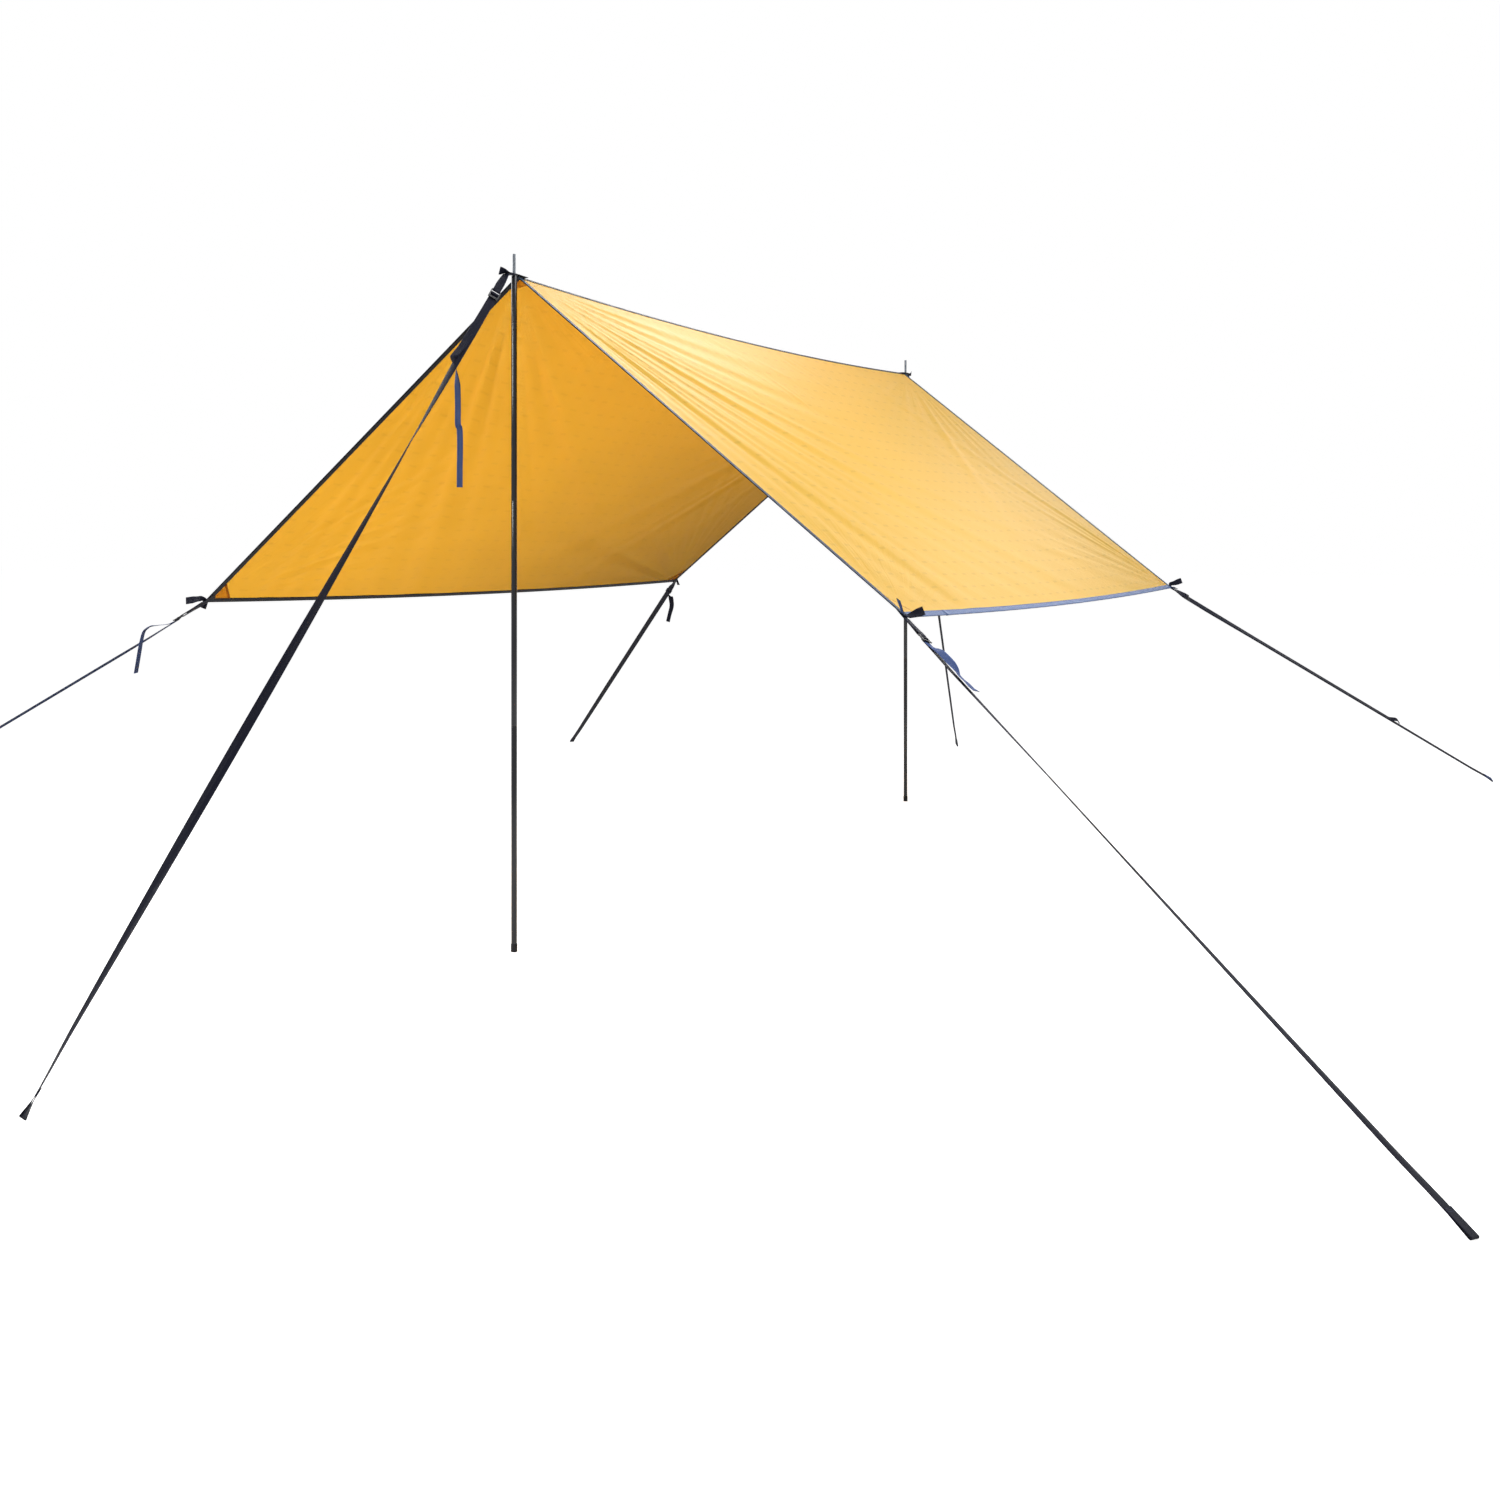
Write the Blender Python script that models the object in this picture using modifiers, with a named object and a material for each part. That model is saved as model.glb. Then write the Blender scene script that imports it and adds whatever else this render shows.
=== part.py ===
"""Camping tarp: one ridged sheet over two three-piece poles, held out by six webbing guys.

Metres, +Z up. The origin is on the ground under the middle of the ridge, which runs along Y.
The front pole stands at -Y. A side is -1 on the left (-X) and +1 on the right.
"""

import math

import bmesh
import bpy
from mathutils import Matrix, Vector

# Gaps between pieces that touch
TOUCH = 0.0003
CLOTH_TOUCH = 0.0004
SEAM_HALF_GAP = 0.0010
GROUND_TOUCH = 0.0001

# Pitch of the tarp
POLE_SPACING = 3.330
POLE_HEIGHT = 2.100
EAVE_HEIGHT = 1.065
EAVE_HALF_SPAN = 1.298
EAVE_OVERREACH = 0.010
RIDGE_INSET = 0.016
RIDGE_SAG = 0.034
EAVE_SAG = 0.018
PANEL_SAG = 0.015

# Cloth, folds and trim. A fan of folds has its share of the fold height, and its phase
CLOTH = 0.0015
CELLS_ALONG = 24
CELLS_DOWN = 12
FOLD_HEIGHT = 0.008
FOLD_REACH = 0.55
FOLD_EDGE = 0.15
FOLD_COUNT = 12.0
FRONT_FAN = (1.0, 0.4)
REAR_FAN = (0.8, 1.7)
CORNER_FAN = (0.7, 2.6)
BINDING_WIDTH = 0.010
TAPE_THICKNESS = 0.0008
RIDGE_TAPE_HALF_WIDTH = 0.010
PATCH_LEG = 0.100
PATCH_THICKNESS = 0.0008
RIDGE_PATCH_DROP = 0.055

# Outline of a ridge patch: how far down the slope, and its length as a share of the leg
RIDGE_PATCH_OUTLINE = ((0.0, 1.0), (RIDGE_TAPE_HALF_WIDTH, 0.84), (RIDGE_PATCH_DROP, 0.12))

# Poles
POLE_RADIUS = 0.009
POLE_WALL = 0.001
POLE_SECTIONS = 3
SPIGOT_LENGTH = 0.060
SPIGOT_CLEARANCE = 0.0003
PIN_RADIUS = 0.005
PIN_LENGTH = 0.066
PIN_CHAMFER = 0.001
NECK_RADIUS = 0.0062
NECK_DROP = 0.0009
SHOULDER_DROP = 0.0017
PLUG_STEM = 0.040
PLUG_RIM = 0.0013
FOOT_RADIUS = 0.0102
FOOT_HEIGHT = 0.025
FOOT_BASE = 0.005
FOOT_CHAMFER = 0.0012
TURNED_STEPS = 20

# Eyelet at each end of the ridge
EYELET_BORE = 0.0054
EYELET_BARREL = 0.0068
EYELET_FLANGE = 0.011
EYELET_FLANGE_THICKNESS = 0.0006
EYELET_PLAY = 0.0002
LEAN_CLEARANCE = 0.0011

# Webbing
WEBBING_WIDTH = 0.025
WEBBING = 0.0016
TAB_WAIST = 0.012
TAB_FLARE = 0.040
TAB_KNEE = 0.0008
RIDGE_TAB_FLAT = 0.040
TAB_TURN = 75
TAB_TURN_STEPS = 5
TAB_INNER_REACH = 0.060
LOOP_SEWN_LENGTH = 0.045
RIDGE_LOOP_SEWN_LENGTH = 0.019
RIDGE_LOOP_OUT = 0.032
CORNER_LOOP_OUT = 0.005
LOOP_LENGTH = 0.072
LOOP_BEND = 0.012
LOOP_SPREAD = 0.012
PEG_LOOP_LENGTH = 0.070
PEG_LOOP_HALF_HEIGHT = 0.0028
PEG_LOOP_CELLS = 8
PEG_LOOP_TURN_STEPS = 6
STRAP_CELLS = 48
TAIL_RIDE = 0.09
TAIL_SWING_STEPS = 3

# Ladder-lock buckle, measured from the middle of its rear bar towards the peg
BUCKLE_HALF_WIDTH = 0.016
BUCKLE_WINDOW_HALF_WIDTH = 0.0131
BUCKLE_THICKNESS = 0.0034
BUCKLE_BAR = 0.0034
BUCKLE_MIDDLE_BAR = 0.0044
BUCKLE_SLOT = 0.0086
BUCKLE_LIP = 0.0076
BUCKLE_ROUNDING = 0.001
LOOP_BAR_RADIUS = 0.0022
JOINT_GAP = 0.0004
STAGGER = 0.0015

# The webbing's turn round the buckle's middle bar: its flat run stops short of the bar's edges,
# its corners are cut off by a drop beside the bar, and it climbs to and from the bar on two ramps
# of (distance past the bar, height)
TURN_INSET = 0.0002
TURN_CORNER = 0.0006
TURN_DROP = 0.0015
STRAP_RAMP = ((0.0039, 0.0), (0.0020, 0.0006))
TAIL_RAMP = ((0.0017, -0.0014), (0.0030, -0.0022))
TAIL_RAMP_END = 0.0052

# Where each guy meets the ground, the roll of its buckle, how its webbing turns on from there,
# as pairs of the share of its length and the turn in degrees, and the turn of its peg loop
GUYS = {
    "front_ridge": {"ground": (-0.091, -3.400), "roll": -51, "loop_turn": 40,
                    "turns": ((0.0, 0), (0.27, 90), (0.634, 180), (1.0, 265))},
    "front_left": {"ground": (-2.800, -2.550), "roll": -20, "loop_turn": 0,
                   "turns": ((0.0, 0), (0.4, -4), (1.0, 8))},
    "front_right": {"ground": (2.797, -2.640), "roll": 0, "loop_turn": 0,
                    "turns": ((0.0, 0), (0.32, -18), (1.0, 14))},
    "rear_right": {"ground": (2.560, 3.701), "roll": 30, "loop_turn": 0,
                   "turns": ((0.0, 0), (0.2, -16), (1.0, -19))},
    "rear_left": {"ground": (-2.789, 2.975), "roll": 62, "loop_turn": 0,
                  "turns": ((0.0, 0), (0.6, -8), (1.0, -35))},
    "rear_ridge": {"ground": (-0.506, 3.844), "roll": 0, "loop_turn": 0,
                   "turns": ((0.0, 0), (0.62, 52), (1.0, 56))},
}

# Free tails. A tail first follows this many strap stations while it drifts across the strap.
# It leaves by (distance on from there, offset across, height above), then falls by
# (x, y, z) from the last of those points, its width swinging round to the bearing in degrees.
# Lengths are in millimetres
TAILS = {
    "front_ridge": {
        "follows": 4, "drift": -20, "leaving": ((38, -24, 5),), "bearing": 76,
        "falling": ((-3, -5, -14), (-5, -4, -40), (-5, -2, -90), (-4, -1, -150), (-5, -1, -205),
                    (1, 0, -222), (2, -1, -280), (1, -1, -340), (0, -1, -393)),
    },
    "front_left": {
        "follows": 0, "drift": 0, "bearing": -60,
        "leaving": ((14, 0, 1), (30, 0, 6), (48, 2, 15), (65, 11, 22), (77, 24, 24)),
        "falling": ((-9, -14, -14), (-16, -19, -44), (-24, -20, -80), (-33, -20, -120), (-42, -20, -158)),
    },
    "front_right": {
        "follows": 0, "drift": 0, "bearing": 0, "falling": (),
        "leaving": ((20, 0, 1), (48, 0, 7), (78, 0, 16), (108, 0, 18), (134, 0, 9), (158, 0, 3),
                    (183, 0, 2), (208, 0, 6), (230, 0, 13), (250, 0, 22)),
    },
    "rear_right": {
        "follows": 31, "drift": 0, "bearing": 0, "falling": (),
        "leaving": ((12, 0, 2), (28, 0, 9), (44, 0, 15), (60, 0, 14), (70, 0, 7)),
    },
    "rear_left": {
        "follows": 0, "drift": 0, "bearing": 174,
        "leaving": ((8, 0, 0.2), (20, -5, 4), (31, -15, 9), (40, -26, 11)),
        "falling": ((4, 1, -18), (6, 1, -50), (-4, -2, -90), (-13, -6, -132)),
    },
    "rear_ridge": {
        "follows": 3, "drift": 10, "bearing": 70, "leaving": ((20, 18, 8), (38, 27, 10)),
        "falling": ((0, 6, -18), (0, 6, -62), (-1, 7, -112), (-1, 6, -164), (-2, 8, -214), (-2, 8, -255)),
    },
}

# The webbing tab sewn across each corner, from one end to the other. Each of its points is
# (along the guy, across it, above the cloth) from the corner, in millimetres
TABS = {
    "front_left": (((54, 18, 30), (28, 18, 17), (6, 19, 6)), ((6, -18, 4), (28, -26, -6))),
    "front_right": (((2, 44, 34), (0, 22, 10)), ((-8, -20, 8), (-16, -38, 24))),
    "rear_right": (((36, 12, 46), (17, 16, 20), (3, 18, 6)), ((-4, -20, 6), (-6, -36, 14))),
    "rear_left": (((4, 40, 20), (0, 20, 7)), ((4, -17, 4), (14, -20, -8), (24, -20, -24))),
}

# The end of the tab on each ridge end: steps outwards, to the side and upwards from the pin
RIDGE_TABS = {"front_ridge": (66, -8, 3), "rear_ridge": (62, 6, 3)}

MM = 0.001
POLE_END = POLE_SPACING / 2
RIDGE_HALF_LENGTH = POLE_END - RIDGE_INSET
EAVE_HALF_LENGTH = RIDGE_HALF_LENGTH + EAVE_OVERREACH
TAPE_OFFSET = CLOTH / 2 + TOUCH + TAPE_THICKNESS / 2
TAPE_TOP = CLOTH / 2 + TOUCH + TAPE_THICKNESS
EYELET_HALF_HEIGHT = WEBBING / 2 + EYELET_PLAY + EYELET_FLANGE_THICKNESS
TAB_HEIGHT = POLE_HEIGHT + LEAN_CLEARANCE + EYELET_HALF_HEIGHT
# A layer over the crest stands this many times its height above the slopes
CREST_RISE = 1.28
RIDGE_HEIGHT = TAB_HEIGHT - WEBBING / 2 - TOUCH - TAPE_TOP * CREST_RISE
EAVE_DROP = RIDGE_HEIGHT - EAVE_HEIGHT
ROOF_PITCH = math.atan2(EAVE_DROP, EAVE_HALF_SPAN)
SLOPE_LENGTH = math.hypot(EAVE_DROP, EAVE_HALF_SPAN)
PATCH_DEPTH = CLOTH / 2 + CLOTH_TOUCH + PATCH_THICKNESS
LAYER = WEBBING + TOUCH
BUCKLE_LENGTH = 1.5 * BUCKLE_BAR + 2 * BUCKLE_SLOT + BUCKLE_MIDDLE_BAR + BUCKLE_LIP
MIDDLE_BAR_START = BUCKLE_BAR / 2 + BUCKLE_SLOT
MIDDLE_BAR_END = MIDDLE_BAR_START + BUCKLE_MIDDLE_BAR
LIP_START = MIDDLE_BAR_END + BUCKLE_SLOT
LIP_END = LIP_START + BUCKLE_LIP
TAIL_LEVEL = -(BUCKLE_THICKNESS / 2 + TOUCH + WEBBING / 2)
STRAP_LEVEL = TAIL_LEVEL - LAYER
WRAP_STRAP_END = LIP_END - 2 * JOINT_GAP
WRAP_TAIL_END = WRAP_STRAP_END + STAGGER
STRAP_START = WRAP_STRAP_END + JOINT_GAP
TAIL_START = WRAP_TAIL_END + JOINT_GAP
LOOP_OFFSET = LOOP_BAR_RADIUS + WEBBING / 2


def clear_scene():
    for item in list(bpy.data.objects):
        bpy.data.objects.remove(item)


def add_collection(name):
    collection = bpy.data.collections.new(name)
    bpy.context.scene.collection.children.link(collection)
    return collection


def add_material(name, colour, roughness, metallic=0.0):
    material = bpy.data.materials.new(name)
    material.use_nodes = True
    shader = material.node_tree.nodes["Principled BSDF"]
    shader.inputs["Base Color"].default_value = (*colour, 1.0)
    shader.inputs["Roughness"].default_value = roughness
    shader.inputs["Metallic"].default_value = metallic
    return material


def add_object(name, mesh, material):
    piece = bpy.data.objects.new(name, mesh)
    PARTS.objects.link(piece)
    if material and not mesh.materials:
        mesh.materials.append(material)
    return piece


def add_cutter(name, mesh):
    cutter = bpy.data.objects.new(name, mesh)
    CUTTERS.objects.link(cutter)
    cutter.hide_render = True
    cutter.display_type = "WIRE"
    return cutter


def thicken(piece, thickness):
    wall = piece.modifiers.new("thickness", "SOLIDIFY")
    wall.thickness = thickness
    wall.offset = 0
    wall.use_even_offset = True


def cut(piece, cutter):
    hole = piece.modifiers.new("cut_" + cutter.name, "BOOLEAN")
    hole.operation = "DIFFERENCE"
    hole.object = cutter


def surface_mesh(name, rows, closed=False, fanned=False):
    """An open surface through rows of points, all with as many points. A fanned one is
    creased round its four corners, as its quads split into triangles across them."""
    width = len(rows[0])
    last = len(rows) if closed else len(rows) - 1
    faces = []
    for row in range(last):
        following = (row + 1) % len(rows)
        for column in range(width - 1):
            corners = [row * width + column, row * width + column + 1,
                       following * width + column + 1, following * width + column]
            if fanned and (row < last / 2) == (column < width / 2):
                corners = corners[1:] + corners[:1]
            faces.append(corners)
    mesh = bpy.data.meshes.new(name)
    mesh.from_pydata([tuple(point) for row in rows for point in row], [], faces)
    mesh.update()
    return mesh


def turned_piece(name, profile, material, location, closed=False):
    """A profile of (radius, height) points, from the top down its outer side, turned about Z."""
    mesh = bpy.data.meshes.new(name)
    points = [(radius, 0, height) for radius, height in profile]
    edges = [(i, i + 1) for i in range(len(points) - 1)]
    if closed:
        edges.append((len(points) - 1, 0))
    mesh.from_pydata(points, edges, [])
    piece = add_object(name, mesh, material)
    piece.location = location
    screw = piece.modifiers.new("turn", "SCREW")
    screw.steps = TURNED_STEPS
    screw.render_steps = TURNED_STEPS
    screw.use_merge_vertices = True
    screw.merge_threshold = 1e-5
    screw.use_smooth_shade = True
    return piece


def smoothed(points, steps):
    """A smooth curve through the points, with this many steps between each two."""
    ends = [points[0] * 2 - points[1], *points, points[-1] * 2 - points[-2]]
    curve = []
    for before, start, stop, after in zip(ends, ends[1:], ends[2:], ends[3:]):
        for step in range(steps):
            t = step / steps
            curve.append(0.5 * (2 * start + (stop - before) * t
                                + (2 * before - 5 * start + 4 * stop - after) * t ** 2
                                + (3 * start - before - 3 * stop + after) * t ** 3))
    curve.append(points[-1])
    return curve


def blend(table, share):
    """Reads a table of (share, value) pairs, easing from one to the next."""
    for (start, first), (stop, second) in zip(table, table[1:]):
        if share <= stop:
            t = (share - start) / (stop - start)
            return first + (second - first) * t
    return table[-1][1]


def fan(along, down, corner_along, corner_down, phase):
    """Height of the folds that tension spreads out of one corner of a panel."""
    out_along = along - corner_along
    out_down = down - corner_down
    reach = math.hypot(out_along, out_down)
    if reach == 0:
        return 0.0
    angle = math.atan2(abs(out_down), abs(out_along))
    fade = reach / FOLD_REACH * math.exp(1 - reach / FOLD_REACH)
    return math.cos(FOLD_COUNT * angle + phase) * fade


def fold(side, along, down):
    """Height of the panel's folds, nothing at its edges."""
    to_edge = min(RIDGE_HALF_LENGTH - abs(along), down, SLOPE_LENGTH - down)
    mask = 1 - math.exp(-(max(to_edge, 0) / FOLD_EDGE) ** 4)
    lift = 0.0
    for corner_along, corner_down, (share, phase) in (
            (-RIDGE_HALF_LENGTH, 0, FRONT_FAN), (RIDGE_HALF_LENGTH, 0, REAR_FAN),
            (side * RIDGE_HALF_LENGTH, SLOPE_LENGTH, CORNER_FAN)):
        lift += share * fan(along, down, corner_along, corner_down, phase)
    return FOLD_HEIGHT * mask * lift


def panel_point(side, along, down, height=0.0):
    """A point of a panel: along the ridge, down the slope from it, and above its middle."""
    share = down / SLOPE_LENGTH
    y = along * (1 + share * (EAVE_HALF_LENGTH / RIDGE_HALF_LENGTH - 1))
    slack = max(0.0, 1 - (along / POLE_END) ** 2)
    drop = (EAVE_DROP * share + slack * (RIDGE_SAG * (1 - share) + EAVE_SAG * share)
            + slack * PANEL_SAG * 4 * share * (1 - share))
    lift = fold(side, along, down) + height
    return Vector((side * (EAVE_HALF_SPAN * share + lift * math.sin(ROOF_PITCH)), y,
                   RIDGE_HEIGHT - drop + lift * math.cos(ROOF_PITCH)))


def ridge_point(along, height):
    """A point over the ridge, where two layers this far above the panels meet."""
    crest = panel_point(1, along, 0)
    return Vector((0, crest.y, crest.z + height / math.cos(ROOF_PITCH)))


def spaced(start, stop, cells):
    return [start + (stop - start) * i / cells for i in range(cells + 1)]


def lines_along():
    inner = RIDGE_HALF_LENGTH - BINDING_WIDTH
    patch = inner - PATCH_LEG
    return [-RIDGE_HALF_LENGTH, -inner, *spaced(-patch, patch, CELLS_ALONG), inner, RIDGE_HALF_LENGTH]


def lines_down():
    inner = SLOPE_LENGTH - BINDING_WIDTH
    between = spaced(RIDGE_PATCH_DROP, inner - PATCH_LEG, CELLS_DOWN)
    return [RIDGE_TAPE_HALF_WIDTH, *between, inner, SLOPE_LENGTH]


def add_panels(cloth):
    """Both slopes of the sheet, which meet along the ridge under its tape."""
    for side, name in ((-1, "canopy_left_panel"), (1, "canopy_right_panel")):
        rows = [[panel_point(side, along, down) for down in [SEAM_HALF_GAP, *lines_down()]]
                for along in lines_along()]
        panel = add_object(name, surface_mesh(name, rows, fanned=True), cloth)
        thicken(panel, CLOTH)


def binding_section(side, along, down, inner_along, inner_down, out_along, out_down):
    """The fold of tape round the cloth's edge: its top, its rim and its underside."""
    rim = TOUCH + TAPE_THICKNESS / 2
    edge = (along + out_along * rim, down + out_down * rim)
    inner = (inner_along, inner_down)
    return [panel_point(side, *inner, TAPE_OFFSET), panel_point(side, *edge, TAPE_OFFSET),
            panel_point(side, *edge, -TAPE_OFFSET), panel_point(side, *inner, -TAPE_OFFSET)]


def add_binding(tape):
    """One tape folded over the whole edge of the sheet."""
    rim = TOUCH + TAPE_THICKNESS / 2
    inner_end = RIDGE_HALF_LENGTH - BINDING_WIDTH
    inner_eave = SLOPE_LENGTH - BINDING_WIDTH
    sections = []
    for side in (1, -1):
        start = -side
        ridge_outer = start * (RIDGE_HALF_LENGTH + rim)
        ridge_inner = start * inner_end
        sections.append([ridge_point(ridge_inner, TAPE_OFFSET), ridge_point(ridge_outer, TAPE_OFFSET),
                         ridge_point(ridge_outer, -TAPE_OFFSET), ridge_point(ridge_inner, -TAPE_OFFSET)])
        downs = lines_down()[:-2]
        for down in downs:
            sections.append(binding_section(side, start * RIDGE_HALF_LENGTH, down,
                                            start * inner_end, down, start, 0))
        sections.append(binding_section(side, start * RIDGE_HALF_LENGTH, SLOPE_LENGTH,
                                        start * inner_end, inner_eave, start, 1))
        for along in lines_along()[2:-2]:
            sections.append(binding_section(side, -start * along, SLOPE_LENGTH,
                                            -start * along, inner_eave, 0, 1))
        sections.append(binding_section(side, -start * RIDGE_HALF_LENGTH, SLOPE_LENGTH,
                                        -start * inner_end, inner_eave, -start, 1))
        for down in reversed(downs):
            sections.append(binding_section(side, -start * RIDGE_HALF_LENGTH, down,
                                            -start * inner_end, down, -start, 0))
    binding = add_object("edge_binding", surface_mesh("edge_binding", sections, closed=True), tape)
    thicken(binding, TAPE_THICKNESS)


def add_ridge_tape(tape):
    """The tape over the ridge, between the bound ends of the sheet."""
    end = RIDGE_HALF_LENGTH - BINDING_WIDTH - TOUCH
    inner = [along for along in lines_along() if abs(along) < end]
    rows = []
    for along in [-end, *inner, end]:
        left, right = [panel_point(side, along, RIDGE_TAPE_HALF_WIDTH, TAPE_OFFSET) for side in (-1, 1)]
        rows.append([left, ridge_point(along, TAPE_OFFSET), right])
    ridge_tape = add_object("ridge_tape", surface_mesh("ridge_tape", rows), tape)
    thicken(ridge_tape, TAPE_THICKNESS)


def corner_of(name):
    """Side and end of a corner from its name: left and front are -1."""
    return (-1 if "left" in name else 1), (-1 if "front" in name else 1)


def add_patches(patch_cloth):
    """Doubled cloth on the inside of each corner and of each end of the ridge."""
    depth = -(CLOTH / 2 + CLOTH_TOUCH + PATCH_THICKNESS / 2)
    inner_end = RIDGE_HALF_LENGTH - BINDING_WIDTH - TOUCH
    inner_eave = SLOPE_LENGTH - BINDING_WIDTH - TOUCH
    for name in TABS:
        side, end = corner_of(name)
        corners = [panel_point(side, end * inner_end, inner_eave, depth),
                   panel_point(side, end * inner_end, inner_eave - PATCH_LEG, depth),
                   panel_point(side, end * (inner_end - PATCH_LEG), inner_eave, depth)]
        mesh = bpy.data.meshes.new(name + "_patch")
        mesh.from_pydata(corners, [], [(0, 1, 2)])
        patch = add_object("patch_" + name, mesh, patch_cloth)
        thicken(patch, PATCH_THICKNESS)
    crest, *slopes = RIDGE_PATCH_OUTLINE
    sides = [(-1, *point) for point in reversed(slopes)] + [(0, *crest)] + [(1, *point) for point in slopes]
    for name, end in (("front_ridge", -1), ("rear_ridge", 1)):
        rows = []
        for side, down, leg in sides:
            ends = (end * inner_end, end * (inner_end - leg * PATCH_LEG))
            if side == 0:
                rows.append([ridge_point(along, depth) for along in ends])
            else:
                rows.append([panel_point(side, along, down, depth) for along in ends])
        patch = add_object("patch_" + name, surface_mesh(name + "_patch", rows), patch_cloth)
        thicken(patch, PATCH_THICKNESS)


def strip_rows(centres, across, widths):
    return [[centre - side * width / 2, centre + side * width / 2]
            for centre, side, width in zip(centres, across, widths)]


def add_strip(name, centres, across, material, widths=None):
    """A length of webbing along its centres, its width lying along the across vectors."""
    widths = widths or [WEBBING_WIDTH] * len(centres)
    strip = add_object(name, surface_mesh(name, strip_rows(centres, across, widths)), material)
    thicken(strip, WEBBING)
    return strip


def guy_frame(name):
    """The geometry of one guy: its anchor, the cloth's plane there, and the buckle's axes."""
    if "ridge" in name:
        end = -1 if "front" in name else 1
        normal = Vector((0, 0, 1))
        seat = Vector((0, end * POLE_END, TAB_HEIGHT))
        out, depth = RIDGE_LOOP_OUT, WEBBING / 2 + TOUCH + WEBBING + TOUCH / 2
    else:
        side, end = corner_of(name)
        seat = panel_point(side, end * RIDGE_HALF_LENGTH, SLOPE_LENGTH)
        along_edge = panel_point(side, end * (RIDGE_HALF_LENGTH - PATCH_LEG), SLOPE_LENGTH) - seat
        up_edge = panel_point(side, end * RIDGE_HALF_LENGTH, SLOPE_LENGTH - PATCH_LEG) - seat
        normal = along_edge.cross(up_edge).normalized()
        if normal.z < 0:
            normal = -normal
        out, depth = CORNER_LOOP_OUT, PATCH_DEPTH + TOUCH + WEBBING / 2 - LAYER / 2
    ground = Vector((*GUYS[name]["ground"], 0))
    pull = (ground - seat).normalized()
    plane = (pull - normal * pull.dot(normal)).normalized()
    anchor = seat + plane * out - normal * depth
    pull = (ground - anchor).normalized()
    plane = (pull - normal * pull.dot(normal)).normalized()
    across = normal.cross(plane)
    turned = Matrix.Rotation(math.radians(GUYS[name]["roll"]), 3, pull)
    bend = plane.angle(pull)
    steps = 4 if bend > 0.5 else 1
    centre = anchor.copy()
    lead = [(centre.copy(), normal.copy())]
    for step in range(steps):
        middle = plane.slerp(pull, (step + 0.5) / steps)
        centre += middle * LOOP_BEND / steps
        lead.append((centre.copy(), plane.slerp(pull, (step + 1) / steps).cross(across)))
    bar = centre + pull * LOOP_LENGTH
    frame = {"seat": seat, "plane": plane, "normal": normal, "pull": pull, "flat_across": across,
             "across": turned @ across, "up": turned @ pull.cross(across), "lead": lead, "bar": bar,
             "roll": math.radians(GUYS[name]["roll"]), "turns": GUYS[name]["turns"],
             "loop_turn": GUYS[name]["loop_turn"]}
    frame["start"] = bar + frame["up"] * STRAP_LEVEL
    frame["reach"] = ground_reach(frame)
    frame["stations"] = spaced(STRAP_START, frame["reach"] - PEG_LOOP_LENGTH, STRAP_CELLS)
    return frame


def buckle_matrix(frame):
    rows = Matrix((frame["pull"], frame["across"], frame["up"])).transposed()
    return Matrix.Translation(frame["bar"]) @ rows.to_4x4()


def add_tab(name, frame, webbing):
    """Webbing sewn across a corner, whose two ends stand out past it."""
    seat = (frame["seat"] + frame["normal"] * (TAPE_TOP + TOUCH + WEBBING / 2)
            - frame["plane"] * TAB_WAIST / 2)
    axes = (frame["plane"], frame["flat_across"], frame["normal"])
    first, second = [[seat + sum((axis * step * MM for axis, step in zip(axes, steps)), Vector())
                      for steps in end] for end in TABS[name]]
    half = frame["flat_across"] * TAB_WAIST / 2
    knee = frame["normal"] * TAB_KNEE
    sewn = [seat + 2 * half + knee, seat + half, seat - half, seat - 2 * half + knee]
    centres = smoothed([*first, *sewn, *second], 3)
    widths = [TAB_WAIST + (WEBBING_WIDTH - TAB_WAIST) * min(1.0, (centre - seat).length / TAB_FLARE)
              for centre in centres]
    across = flattened(centres, [frame["plane"]] * len(centres))
    add_strip("tab_" + name, centres, across, webbing, widths)


def flattened(centres, across):
    """The across vectors, each turned square to the strip's own direction."""
    square = []
    for i, side in enumerate(across):
        ahead = (centres[min(i + 1, len(centres) - 1)] - centres[max(i - 1, 0)]).normalized()
        square.append((side - ahead * side.dot(ahead)).normalized())
    return square


def add_ridge_tab(name, webbing):
    """Webbing over the end of the ridge, with the eyelet through it and its end standing out."""
    end = -1 if "front" in name else 1
    out_step, side_step, up_step = RIDGE_TABS[name]
    lift = Vector((0, 0, WEBBING / 2 + TOUCH))
    centres = [ridge_point(end * (POLE_END - inner), TAPE_TOP) + lift
               for inner in (TAB_INNER_REACH, TAB_INNER_REACH / 2)]
    for out in (-EYELET_FLANGE - TOUCH, EYELET_FLANGE + TOUCH, RIDGE_TAB_FLAT):
        centres.append(Vector((0, end * (POLE_END + out), TAB_HEIGHT)))
    tip = Vector((side_step * MM, end * (POLE_END + out_step * MM), TAB_HEIGHT + up_step * MM))
    across = [Vector((1, 0, 0))] * len(centres)
    for step in range(1, TAB_TURN_STEPS + 1):
        share = step / TAB_TURN_STEPS
        centres.append(centres[4].lerp(tip, share))
        across.append(Matrix.Rotation(-math.radians(TAB_TURN) * share, 3, "Y") @ Vector((1, 0, 0)))
    tab = add_strip("tab_" + name, centres, flattened(centres, across), webbing)
    cut(tab, turned_cutter(name + "_eyelet_hole", EYELET_BARREL + TOUCH, end * POLE_END))


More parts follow.
